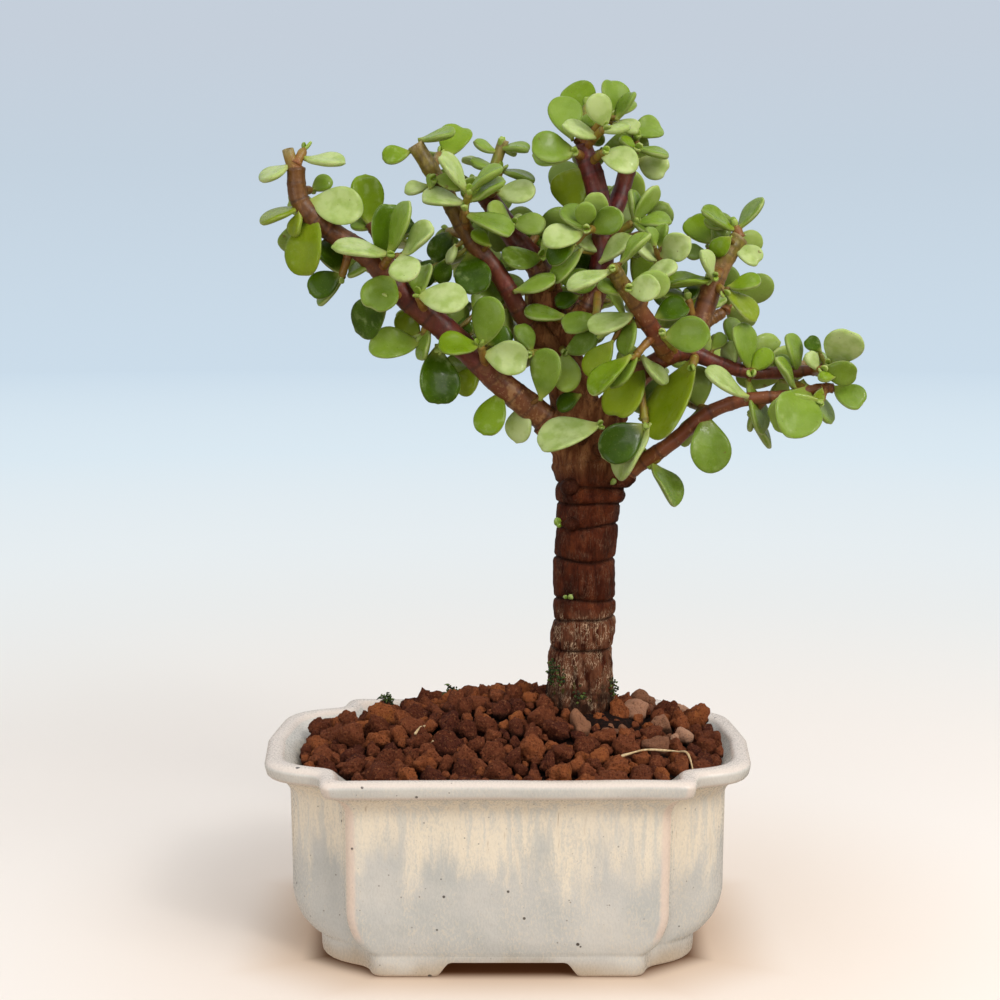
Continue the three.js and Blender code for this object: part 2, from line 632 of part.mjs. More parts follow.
function leafCrosses(samples, leaf) {
  return samples.some((point) => {
    const q = minus(point, leaf.centre);
    const a = dot(q, leaf.along) / (leaf.length * 0.44 + LEAF_CLEARANCE);
    const b = dot(q, leaf.across) / (leaf.half + LEAF_CLEARANCE);
    const c = dot(q, leaf.face) / (1.5 + LEAF_CLEARANCE);
    return a * a + b * b + c * c < 1;
  });
}

function stemCrosses(samples, stem) {
  const along = minus(stem.to, stem.from);
  const square = dot(along, along);
  return samples.some((point) => {
    const q = minus(point, stem.from);
    const t = Math.min(Math.max(dot(q, along) / square, 0), 1);
    const gap = minus(q, scale(along, t));
    return dot(gap, gap) < (stem.radius + STEM_CLEARANCE) ** 2;
  });
}

function isClear(leaf, shoot, leaves, stems) {
  const near = leaves.filter((other) => {
    const gap = minus(other.centre, leaf.centre);
    return dot(gap, gap) < 22 ** 2;
  });
  if (near.some((other) => leafCrosses(leaf.samples, other) || leafCrosses(other.samples, leaf))) return false;
  return !stems.some((stem) => {
    if (stem.shoot === shoot.index) return false;
    const own = stem.limb === shoot.limb && stem.shoot < 0;
    return stemCrosses(own ? leaf.samples.slice(1, -2) : leaf.samples, stem);
  });
}

function trunkRadius(t) {
  return t < 0.5 ? 9.3 : mix(9.3, 4.8, Math.min((t - 0.5) / 0.35, 1));
}

// Every straight stretch of stem that leaves have to miss
function listStems(shoots) {
  const stems = [];
  const parts = 16;
  const tubes = { trunk: { line: TRUNK_LINE, radius: trunkRadius } };
  for (const [name, limb] of Object.entries(LIMBS)) {
    tubes[name] = { line: limb.line, radius: (t) => mix(limb.radii[0], limb.radii[1], t) };
  }
  for (const [limb, { line, radius }] of Object.entries(tubes)) {
    for (let i = 0; i < parts; i += 1) {
      const from = curvePoint(line, i / parts);
      const to = curvePoint(line, (i + 1) / parts);
      stems.push({ limb, shoot: -1, from, to, radius: radius((i + 0.5) / parts) });
    }
  }
  for (const { index, limb, from, to } of shoots) {
    stems.push({ limb, shoot: index, from, to, radius: SHOOT_RADIUS });
  }
  return stems;
}

function lineOf(limb) {
  return limb === "trunk" ? TRUNK_LINE : LIMBS[limb].line;
}

function nodeOf(limb) {
  return limb === "trunk" ? "trunk" : LIMBS[limb].node;
}

// Leaves grow in opposite pairs, each pair turned a quarter from the one below it. Where a leaf would
// cross another leaf or a stem it is turned, bent and shortened step by step, and at last left out.
const ATTEMPTS = 16;

function growLeaves(shoots) {
  const stems = listStems(shoots);
  const draw = seededRandom(LEAF_SEED);
  const leaves = [];
  for (const shoot of shoots) {
    const axis = unit(minus(shoot.to, shoot.from));
    for (let level = 0; level < shoot.pairs; level += 1) {
      const share = (level + 1) / shoot.pairs;
      const base = add(shoot.from, scale(minus(shoot.to, shoot.from), share));
      const last = level === shoot.pairs - 1;
      for (const half of [0, 1]) {
        const jitter = Array.from({ length: 8 }, () => draw() - 0.5);
        const length = shoot.size * (1 + 0.24 * jitter[0]) * (last ? 1 : 0.95);
        const wide = length * (0.345 + 0.1 * jitter[1]);
        const bend = 0.22 * jitter[2];
        const cup = 0.1 + 0.25 * jitter[3];
        const quarter = (Math.PI / 2) * (shoot.pairs - 1 - level);
        const turn = radians(shoot.turn + 20 * jitter[4]) + quarter + Math.PI * half;
        const open = radians((last ? shoot.open : 72) + 14 * jitter[5]);
        const twist = radians(84 * jitter[6]);
        for (let attempt = 0; attempt < ATTEMPTS; attempt += 1) {
          const step = Math.floor((attempt + 1) / 2) * (attempt % 2 ? 1 : -1);
          const size = 1 - 0.02 * attempt;
          const wider = attempt > 2 ? radians(9) * ((attempt % 3) - 1) : 0;
          const turned = turn + radians(11) * step;
          const twisted = attempt % 4 < 2 ? twist : -twist;
          const leaf = makeLeaf(base, axis, turned, open + wider, twisted, length * size, wide * size, bend, cup);
          if (!isClear(leaf, shoot, leaves, stems)) continue;
          leaves.push(Object.assign(leaf, { shoot: shoot.index, level, turn: turned }));
          break;
        }
      }
    }
  }
  return leaves;
}

// A leaf as a thick blade that grows out of an opening in its shoot: two rims and a raised middle on
// each face. The opening's corners a, b, c and d are numbered points of the shoot.
const LEAF_RIM = [[0.35, -1], [0.82, -1], [1, 0], [0.82, 1], [0.35, 1]];

function growBlade(points, triangles, leaf, opening) {
  const lift = (k) => {
    const corner = (i) => dot(points[opening[(i + k) % 4]], leaf.face);
    return corner(2) + corner(3) - corner(0) - corner(1);
  };
  const turn = [0, 1, 2, 3].reduce((best, k) => (lift(k) > lift(best) ? k : best), 0);
  const [lowA, lowB, highB, highA] = [0, 1, 2, 3].map((i) => opening[(i + turn) % 4]);
  const rim = LEAF_RIM.map(([u, v]) => leafPoint(leaf, u, v));
  const first = points.length;
  points.push(...rim.map((point) => add(point, scale(leaf.face, LEAF_EDGE))));
  points.push(...rim.map((point) => minus(point, scale(leaf.face, LEAF_EDGE))));
  const middle = leafPoint(leaf, 0.6, 0);
  const top = points.push(add(middle, scale(leaf.face, LEAF_TOP))) - 1;
  const bottom = points.push(minus(middle, scale(leaf.face, LEAF_UNDERSIDE))) - 1;
  const upper = [highA, ...rim.map((_, i) => first + i), highB];
  const lower = [lowA, ...rim.map((_, i) => first + rim.length + i), lowB];
  for (let i = 0; i + 1 < upper.length; i += 1) {
    triangles.push(upper[i], upper[i + 1], top, lower[i + 1], lower[i], bottom);
    triangles.push(lower[i], lower[i + 1], upper[i + 1], lower[i], upper[i + 1], upper[i]);
  }
  triangles.push(highB, highA, top, lowA, lowB, bottom);
}

// A four-sided shoot with its leaves. Each leaf grows out of the side that it is nearest to, between
// the two rings of its node. A bare stub is thicker and has no nodes.
function shootSolid(shoot, leaves) {
  const axis = unit(minus(shoot.to, shoot.from));
  const own = leaves.filter((leaf) => leaf.shoot === shoot.index);
  const first = own.find((leaf) => leaf.level === shoot.pairs - 1);
  const turn = first ? first.turn : radians(shoot.turn);
  const points = [];
  const addRing = (centre, radius) => {
    for (let k = 0; k < 4; k += 1) {
      points.push(add(centre, scale(spoke(axis, turn + Math.PI * (0.25 - 0.5 * k)), radius)));
    }
  };
  addRing(shoot.from, SHOOT_RADIUS + (shoot.pairs ? 0.4 : 1));
  for (let level = 0; level < shoot.pairs; level += 1) {
    const node = add(shoot.from, scale(minus(shoot.to, shoot.from), (level + 1) / shoot.pairs));
    addRing(minus(node, scale(axis, NODE_HALF)), SHOOT_RADIUS + 0.25);
    addRing(add(node, scale(axis, NODE_HALF)), SHOOT_RADIUS + 0.1);
  }
  if (!shoot.pairs) addRing(shoot.to, SHOOT_RADIUS + 0.6);
  const triangles = [0, 3, 2, 0, 2, 1];
  for (let ring = 0; 4 * ring + 4 < points.length && ring < Math.max(1, 2 * shoot.pairs); ring += 1) {
    const taken = {};
    for (const leaf of own.filter(({ level }) => ring === 2 * level + 1)) {
      const wanted = Math.round((turn - leaf.turn) / (Math.PI / 2));
      const face = [0, 1, 3, 2].map((more) => (((wanted + more) % 4) + 4) % 4).find((k) => !taken[k]);
      taken[face] = leaf;
    }
    for (let k = 0; k < 4; k += 1) {
      const [a, b] = [4 * ring + k, 4 * ring + ((k + 1) % 4)];
      if (taken[k]) growBlade(points, triangles, taken[k], [a, b, b + 4, a + 4]);
      else triangles.push(a, b, b + 4, a, b + 4, a + 4);
    }
  }
  const end = 4 * Math.max(1, 2 * shoot.pairs);
  triangles.push(end, end + 1, end + 2, end, end + 2, end + 3);
  return toSolid(fromPoints(points, triangles));
}

// Where a branch starts in its socket, leaves the collar, and is clear of it, along its limb
function socketStops(limb) {
  const length = curveLength(limb.line);
  return [limb.collar - SOCKET_DEPTH / length, limb.collar, limb.collar + 6 / length];
}

// The trunk: buried foot, ringed bark, and the leader with a collar for each branch
function makeTrunk(shoots, leaves) {
  const [x, y] = TRUNK_LINE[0];
  const rings = [circle([x, y, TRUNK_FOOT], TRUNK_RINGS[0][1], TRUNK_SIDES)];
  const groove = 0.7;
  TRUNK_RINGS.forEach(([z, radius], i) => {
    const top = i + 1 < TRUNK_RINGS.length ? TRUNK_RINGS[i + 1][0] : 128;
    const edge = Math.min(1, (top - z) / 4);
    for (const [height, reach] of [[z + edge, radius + 0.2], [top - edge, radius + 0.2], [top, radius - groove]]) {
      rings.push(circle(trunkCentre(height), reach, TRUNK_SIDES));
    }
  });
  let trunk = loft(rings);
  const leaderPoints = [];
  const leaderRadii = [];
  for (let t = 0.46; t <= 1.001; t += 0.09) {
    leaderPoints.push(curvePoint(TRUNK_LINE, t));
    leaderRadii.push(Math.min(trunkRadius(t), 9));
  }
  trunk = trunk.add(tube(leaderPoints, leaderRadii, TRUNK_SIDES));
  const based = Object.values(LIMBS).filter((limb) => limb.collar);
  for (const limb of based) trunk = trunk.add(limbTube(limb, [0, limb.collar / 2, limb.collar], COLLAR));
  for (const shoot of shoots.filter(({ limb }) => limb === "trunk")) trunk = trunk.add(shootSolid(shoot, leaves));
  for (const limb of based) {
    const [start, mouth, beyond] = socketStops(limb);
    trunk = trunk.subtract(limbTube(limb, [start - GAP / curveLength(limb.line), mouth, beyond], SOCKET_FIT));
  }
  return trunk;
}

// The trunk's centre at a height, up to the fork
function trunkCentre(z) {
  const below = TRUNK_LINE.findLastIndex((point) => point[2] <= z);
  const [a, b] = [TRUNK_LINE[Math.max(below, 0)], TRUNK_LINE[below + 1]];
  const k = Math.max((z - a[2]) / (b[2] - a[2]), 0);
  return [mix(a[0], b[0], k), mix(a[1], b[1], k), z];
}

function makeBranch(node, shoots, leaves) {
  const solids = [];
  for (const limb of Object.values(LIMBS).filter((each) => each.node === node)) {
    const stops = limb.collar ? socketStops(limb) : [0];
    const start = stops.at(-1);
    const steps = Math.max(3, Math.round(((1 - start) * curveLength(limb.line)) / 11));
    for (let i = 1; i <= steps; i += 1) stops.push(mix(start, 1, i / steps));
    solids.push(limbTube(limb, stops, 0));
  }
  for (const shoot of shoots.filter(({ limb }) => nodeOf(limb) === node)) solids.push(shootSolid(shoot, leaves));
  return solids.reduce((branch, solid) => branch.add(solid));
}

// Finishes
const FINISHES = {
  pot: { color: 0xc5cac6, roughness: 0.3, metalness: 0 },
  soil: { color: 0x5a2f1e, roughness: 0.95, metalness: 0 },
  mesh: { color: 0x2b2b2b, roughness: 0.6, metalness: 0 },
  trunk: { color: 0x553022, roughness: 0.8, metalness: 0 },
  leaves: { color: 0x6f9c3a, roughness: 0.4, metalness: 0 },
};

const bonsai = new THREE.Group();

function place(name, solid, finish) {
  const mesh = new THREE.Mesh(toGeometry(solid), new THREE.MeshStandardMaterial(FINISHES[finish]));
  mesh.name = name;
  bonsai.add(mesh);
}

const shoots = SHOOTS.map(([limb, at, tip, pairs, turn, size, open], index) => ({
  index, limb, pairs, turn, size, open, from: curvePoint(lineOf(limb), at), to: tip,
}));
const leaves = growLeaves(shoots);

place("pot", makePot(), "pot");
place("soil", makeSoil(), "soil");
place("drain_mesh_left", makeDrainMesh(-1), "mesh");
place("drain_mesh_right", makeDrainMesh(1), "mesh");
place("trunk", makeTrunk(shoots, leaves), "trunk");
for (const node of new Set(Object.values(LIMBS).map((limb) => limb.node))) {
  place(node, makeBranch(node, shoots, leaves), "leaves");
}

const bounds = new THREE.Box3().setFromObject(bonsai);
const footprint = bounds.getCenter(new THREE.Vector3());
bonsai.position.set(-footprint.x, -footprint.y, -bounds.min.z);

export default bonsai;
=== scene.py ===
import math
import random

import bmesh
import bpy
import numpy as np
from mathutils import Euler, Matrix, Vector, noise


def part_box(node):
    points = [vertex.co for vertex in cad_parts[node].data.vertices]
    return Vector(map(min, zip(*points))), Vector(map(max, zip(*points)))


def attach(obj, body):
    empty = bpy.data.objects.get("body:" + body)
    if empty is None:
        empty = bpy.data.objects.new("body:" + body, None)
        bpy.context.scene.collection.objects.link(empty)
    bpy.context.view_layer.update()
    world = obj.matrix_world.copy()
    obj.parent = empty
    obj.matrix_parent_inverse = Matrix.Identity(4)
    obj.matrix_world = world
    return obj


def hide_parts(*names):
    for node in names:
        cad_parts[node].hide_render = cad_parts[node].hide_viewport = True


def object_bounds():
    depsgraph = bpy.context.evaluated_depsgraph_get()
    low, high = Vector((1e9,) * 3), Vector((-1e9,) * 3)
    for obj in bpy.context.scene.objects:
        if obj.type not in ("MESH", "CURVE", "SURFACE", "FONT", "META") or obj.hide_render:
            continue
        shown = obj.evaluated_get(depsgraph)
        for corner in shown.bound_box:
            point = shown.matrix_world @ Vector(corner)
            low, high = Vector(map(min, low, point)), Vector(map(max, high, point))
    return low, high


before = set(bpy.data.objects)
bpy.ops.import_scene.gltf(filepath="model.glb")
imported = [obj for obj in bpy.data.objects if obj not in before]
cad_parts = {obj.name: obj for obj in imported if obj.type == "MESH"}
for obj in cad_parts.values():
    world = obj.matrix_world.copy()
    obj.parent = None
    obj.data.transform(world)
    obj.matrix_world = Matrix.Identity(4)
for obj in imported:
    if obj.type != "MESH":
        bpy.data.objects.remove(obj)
CAD_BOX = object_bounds()

# Everything below is laid out in millimetres round the centre of the pot's foot, which itself is in metres
POT_LOW, POT_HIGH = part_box("pot")
CENTRE = np.array([(POT_LOW.x + POT_HIGH.x) / 2, (POT_LOW.y + POT_HIGH.y) / 2, 0.0])

# Pot
POT_HEIGHT = 53.2
RIM_HALF_LENGTH = 65
RIM_HALF_WIDTH = 46
LIP_HEIGHT = 4.2
FLOOR_TOP = 11
FLOOR_UNDERSIDE = 5.6
ARCH_HEIGHT = 3.7
BODY_INSET = 6.2
DRAIN_RADIUS = 6
DRAIN_OFFSET = 24

# Soil
SOIL_EDGE = 48.2
MOUND_HEIGHT = 13
MOUND_CENTRE = (8, 10)
MOUND_SPREAD = (46, 30)

# Tree
TRUNK_LINE = [
    [20, 7, 60], [20, 7, 75], [21, 7, 84], [21, 7, 100], [22, 7, 117],
    [22, 7, 126], [20, 7, 136], [18, 8, 144], [14, 9, 157], [11, 10, 167], [10, 10, 173],
]
TRUNK_FOOT = 44
SHOOT_RADIUS = 1

# Seeds of what is drawn at random
LEAF_SEED = 7
FRONT_LEAF_SEED = 12
BLADE_SEED = 31
SHOOT_SEED = 1000
GRANULE_PLACE_SEED = 5
GRANULE_SHAPE_SEED = 17
ROOT_SEED = 3
MOSS_SEED = 23

# Limbs: the node that each belongs to, its radii at both ends, where its collar ends, and its route
LIMBS = {
    "left": {
        "node": "branch_left", "radii": (3.8, 2.3), "collar": 0.11,
        "line": [
            [18, 6, 131], [9, 3, 140], [-2, 0, 149], [-14, -3, 161], [-27, -6, 172],
            [-36, -9, 182], [-46, -11, 189], [-53, -12, 196], [-54, -13, 205],
        ],
    },
    "left_back": {
        "node": "branch_left", "radii": (1.7, 1.1),
        "line": [[-11, -2, 159], [-22, 2, 171], [-30, 4, 179], [-35, 5, 188], [-37, 5, 191]],
    },
    "upper_left": {
        "node": "branch_upper_left", "radii": (2.5, 2.2), "collar": 0.17,
        "line": [[13, 7, 157], [5, 3, 165], [-2, 1, 177], [-10, 0, 187], [-16, -1, 198], [-24, -2, 211]],
    },
    "leader": {
        "node": "branch_leader", "radii": (3.5, 2.6), "collar": 0.12,
        "line": [[10, 10, 173], [8, 11, 180], [2, 12, 187], [-4, 12, 196], [-6, 12, 199]],
    },
    "top": {
        "node": "branch_top", "radii": (3.2, 2.8), "collar": 0.19,
        "line": [[16, 8, 159], [22, 6, 169], [25, 5, 180], [25, 5, 191], [23, 5, 202], [19, 5, 212]],
    },
    "top_right": {
        "node": "branch_top", "radii": (2.6, 2.1),
        "line": [[25, 5, 187], [27, 8, 191], [30, 11, 198], [32, 12, 205], [33, 12, 210]],
    },
    "right": {
        "node": "branch_right", "radii": (3.0, 1.3), "collar": 0.12,
        "line": [
            [23, 5, 134], [28, 1, 144], [35, -2, 152], [42, -4, 156], [48, -4, 157],
            [56, -4, 154], [64, -5, 152], [74, -5, 152], [83, -5, 153],
        ],
    },
    "front": {
        "node": "branch_right", "radii": (2.5, 1.9),
        "line": [[42, -4, 156], [39, -9, 161], [34, -14, 168], [29, -18, 175], [26, -20, 180]],
    },
    "right_up": {
        "node": "branch_right", "radii": (3.0, 2.4),
        "line": [[47, -4, 157], [50, -3, 164], [54, -1, 175], [58, 0, 183], [61, 1, 187]],
    },
    "low_right": {
        "node": "branch_low_right", "radii": (2.3, 1.2), "collar": 0.09,
        "line": [
            [28, 4, 121], [35, 1, 127], [43, -3, 133], [52, -6, 141],
            [62, -8, 145], [72, -9, 146], [82, -9, 148], [85, -9, 148],
        ],
    },
    "back_left": {
        "node": "branch_back_left", "radii": (2.6, 1.5), "collar": 0.2,
        "line": [[13, 12, 152], [9, 20, 161], [2, 27, 169], [-5, 33, 176], [-10, 37, 181]],
    },
    "back_right": {
        "node": "branch_back_right", "radii": (2.8, 1.5), "collar": 0.15,
        "line": [[25, 12, 133], [34, 22, 144], [44, 30, 155], [55, 36, 163], [62, 38, 167]],
    },
    "back_top": {
        "node": "branch_back_top", "radii": (2.4, 1.5), "collar": 0.15,
        "line": [[13, 15, 162], [19, 22, 170], [26, 28, 180], [32, 32, 188], [36, 33, 194]],
    },
}

# Short shoots. Each row: limb, where it starts on the limb from 0 to 1, its tip, pairs of leaves, turn of the
# last pair in degrees, leaf length, and degrees that the last pair opens. A shoot without pairs is a cut stub
SHOOTS = [
    ("left", 1.0, [-53, -13, 207], 1, -25, 13, 108),
    ("left", 0.98, [-56, -12, 209], 0, 0, 0, 0),
    ("left", 1.0, [-52, -11, 209], 1, 60, 6.5, 25),
    ("left", 0.9, [-52, -19, 196], 1, 0, 14.5, 82),
    ("left", 0.92, [-51, -6, 199], 1, 0, 9, 70),
    ("left", 0.86, [-53, -10, 191], 1, 80, 15, 24),
    ("left", 0.74, [-43, -15, 185], 1, -70, 11, 65),
    ("left", 0.68, [-43, -9, 177], 2, 55, 12.5, 24),
    ("left", 0.58, [-30, -17, 182], 2, 0, 14.5, 72),
    ("left", 0.5, [-31, -13, 172], 1, 20, 15, 28),
    ("left", 0.44, [-23, -12, 172], 1, 0, 13.5, 75),
    ("left_back", 0.3, [-22, 7, 178], 1, 0, 13, 50),
    ("left", 0.43, [-22, -3, 162], 1, 90, 13.5, 40),
    ("left", 0.28, [-7, -9, 159], 1, 90, 13, 62),
    ("left", 0.36, [-17, -4, 158], 1, 0, 16, 25),
    ("left", 0.26, [-6, 3, 151], 1, 20, 11.5, 30),
    ("trunk", 0.8, [6, -7, 157], 1, 10, 13, 70),
    ("upper_left", 0.42, [-5, -3, 178], 1, 90, 12.5, 45),
    ("left", 0.2, [1, -1, 144], 1, 50, 13.5, 25),
    ("trunk", 0.81, [15, -2, 157], 1, -60, 13, 60),
    ("trunk", 0.6, [24, -6, 138], 1, -12, 16, 75),
    ("left", 0.56, [-38, 3, 181], 1, 0, 11, 60),
    ("left", 0.36, [-18, 9, 165], 2, 0, 12, 60),
    ("left", 0.76, [-48, -3, 193], 1, 0, 11, 60),
    ("left_back", 1.0, [-37, 5, 193], 1, 20, 14, 35),
    ("left_back", 0.62, [-29, 9, 187], 1, 30, 12, 60),
    ("left", 0.22, [-1, 8, 153], 1, 0, 12, 60),
    ("upper_left", 1.0, [-25, -4, 211], 1, 0, 10, 92),
    ("upper_left", 0.9, [-18, 5, 209], 1, 60, 10.5, 50),
    ("upper_left", 0.87, [-19, -6, 202], 1, -15, 8.5, 75),
    ("upper_left", 0.66, [-10, -8, 198], 1, 0, 12.5, 50),
    ("upper_left", 0.62, [-11, -6, 194], 1, 5, 12.5, 82),
    ("upper_left", 0.6, [-16, 9, 189], 1, 0, 12, 60),
    ("upper_left", 0.3, [-2, 8, 168], 2, 0, 12, 60),
    ("leader", 0.25, [9, 4, 182], 1, -15, 11.5, 75),
    ("trunk", 0.97, [13, 2, 177], 1, -15, 11.5, 75),
    ("trunk", 0.88, [16, -1, 166], 1, 0, 12.5, 75),
    ("leader", 0.95, [-2, 10, 211], 1, 0, 7.5, 85),
    ("leader", 0.95, [-2, 10, 205], 1, 5, 10, 85),
    ("leader", 0.95, [-1, 10, 213], 0, 0, 0, 0),
    ("leader", 0.9, [-3, 4, 200], 1, 0, 10.5, 75),
    ("leader", 0.6, [1, 6, 191], 1, 30, 10, 70),
    ("leader", 0.4, [8, 14, 188], 1, 0, 12, 65),
    ("leader", 0.7, [-2, 20, 192], 2, 0, 12, 60),
    ("leader", 1.0, [-9, 18, 202], 1, 0, 12, 60),
    ("top", 0.95, [25, -3, 215], 1, 0, 11.5, 78),
    ("top", 0.97, [25, -1, 218], 1, 90, 10, 42),
    ("top", 1.0, [27, 8, 219], 1, 0, 12, 27),
    ("top", 1.0, [21, 11, 222], 2, 0, 12, 58),
    ("top", 0.93, [18, 0, 209], 1, 0, 12.5, 75),
    ("top", 0.8, [22, 12, 198], 1, 135, 15.5, 70),
    ("top_right", 1.0, [34, 9, 213], 1, 0, 11, 60),
    ("top_right", 0.9, [34, 5, 210], 1, 25, 10.5, 75),
    ("top", 0.88, [25, -2, 209], 1, 35, 11.5, 75),
    ("top", 0.57, [21, -5, 189], 2, 0, 12, 75),
    ("top", 0.53, [33, 1, 191], 1, 90, 11, 50),
    ("top", 0.5, [38, 9, 189], 1, 90, 11, 50),
    ("top", 0.3, [23, -4, 166], 1, -10, 11, 70),
    ("top", 0.9, [25, 15, 210], 1, 0, 12.5, 60),
    ("top", 0.7, [25, 17, 197], 2, 0, 12.5, 60),
    ("top_right", 0.6, [33, 20, 200], 1, 0, 12.5, 60),
    ("front", 0.5, [39, -10, 181], 1, 0, 11, 45),
    ("front", 0.72, [30, -24, 174], 1, 0, 11.5, 75),
    ("front", 1.0, [25, -22, 182], 1, 0, 12.5, 57),
    ("front", 0.92, [26, -26, 179], 1, -20, 12, 75),
    ("front", 0.48, [32, -20, 169], 1, -35, 13.5, 70),
    ("front", 0.38, [30, -13, 166], 1, 90, 10.5, 60),
    ("front", 0.28, [33, -15, 157], 2, 0, 15, 35),
    ("right_up", 1.0, [60, 1, 190], 1, 0, 10.5, 57),
    ("right_up", 0.85, [59, 6, 185], 1, 0, 10, 70),
    ("right_up", 0.7, [55, 9, 185], 1, 145, 11.5, 60),
    ("right_up", 0.6, [54, -8, 177], 1, 0, 12.5, 78),
    ("right_up", 0.62, [53, -5, 177], 1, 0, 7.5, 20),
    ("right_up", 0.85, [59, -5, 183], 1, 30, 8.5, 70),
    ("right_up", 0.5, [56, -5, 173], 1, 45, 12, 60),
    ("right_up", 0.2, [47, -6, 171], 1, 0, 12, 65),
    ("right", 0.42, [40, -13, 162], 1, 0, 13.5, 78),
    ("right", 0.52, [48, -9, 154], 1, 60, 18, 24),
    ("right", 0.25, [36, -8, 139], 1, 40, 14.5, 50),
    ("right", 0.62, [56, -9, 152], 1, 105, 10, 70),
    ("right", 0.56, [51, -8, 152], 1, 20, 11.5, 75),
    ("right", 0.68, [62, 2, 156], 1, 0, 12, 50),
    ("right", 0.78, [68, 1, 154], 1, 0, 9, 40),
    ("right", 0.75, [63, -11, 152], 1, 75, 14.5, 75),
    ("right", 0.88, [75, -11, 151], 1, 65, 13, 75),
    ("right", 0.86, [75, -8, 150], 1, 55, 8.5, 60),
    ("right", 1.0, [83, -8, 154], 1, 0, 13, 50),
    ("right", 0.96, [81, -12, 153], 1, 35, 11, 75),
    ("right", 0.9, [79, 2, 154], 1, 0, 10, 60),
    ("low_right", 1.0, [87, -10, 148], 1, 90, 10.5, 37),
    ("low_right", 0.86, [81, -12, 145], 1, 0, 14.5, 75),
    ("low_right", 0.5, [54, -6, 140], 1, 40, 14, 22),
    ("low_right", 0.3, [39, -1, 128], 1, 90, 12.5, 72),
    ("low_right", 0.65, [65, -5, 142], 1, 0, 9.5, 30),
    ("low_right", 0.45, [49, 6, 143], 2, 0, 12, 60),
    ("low_right", 0.8, [73, 3, 150], 1, 0, 11, 60),
    ("back_left", 1.0, [-13, 38, 184], 2, 0, 12.5, 60),
    ("back_left", 0.75, [-8, 42, 181], 1, 20, 12.5, 60),
    ("back_left", 0.7, [-1, 28, 181], 2, 0, 12.5, 60),
    ("back_left", 0.5, [-2, 32, 164], 2, 30, 12.5, 60),
    ("back_left", 0.35, [6, 32, 173], 1, 10, 12.5, 60),
    ("back_left", 0.3, [11, 30, 164], 1, 60, 12.5, 60),
    ("back_right", 1.0, [64, 40, 170], 2, 0, 12.5, 60),
    ("back_right", 0.8, [57, 40, 157], 2, 20, 12.5, 60),
    ("back_right", 0.7, [51, 30, 168], 2, 10, 12.5, 60),
    ("back_right", 0.5, [43, 36, 163], 1, 0, 12.5, 60),
    ("back_right", 0.45, [45, 34, 146], 2, 30, 12.5, 60),
    ("back_right", 0.3, [32, 30, 149], 2, 0, 12.5, 60),
    ("back_top", 1.0, [37, 35, 196], 2, 0, 12.5, 60),
    ("back_top", 0.8, [30, 38, 194], 2, 20, 12.5, 60),
    ("back_top", 0.65, [35, 30, 183], 2, 40, 12.5, 60),
    ("back_top", 0.5, [21, 34, 181], 1, 0, 12.5, 60),
    ("back_top", 0.3, [24, 32, 169], 1, 50, 12.5, 60),
]

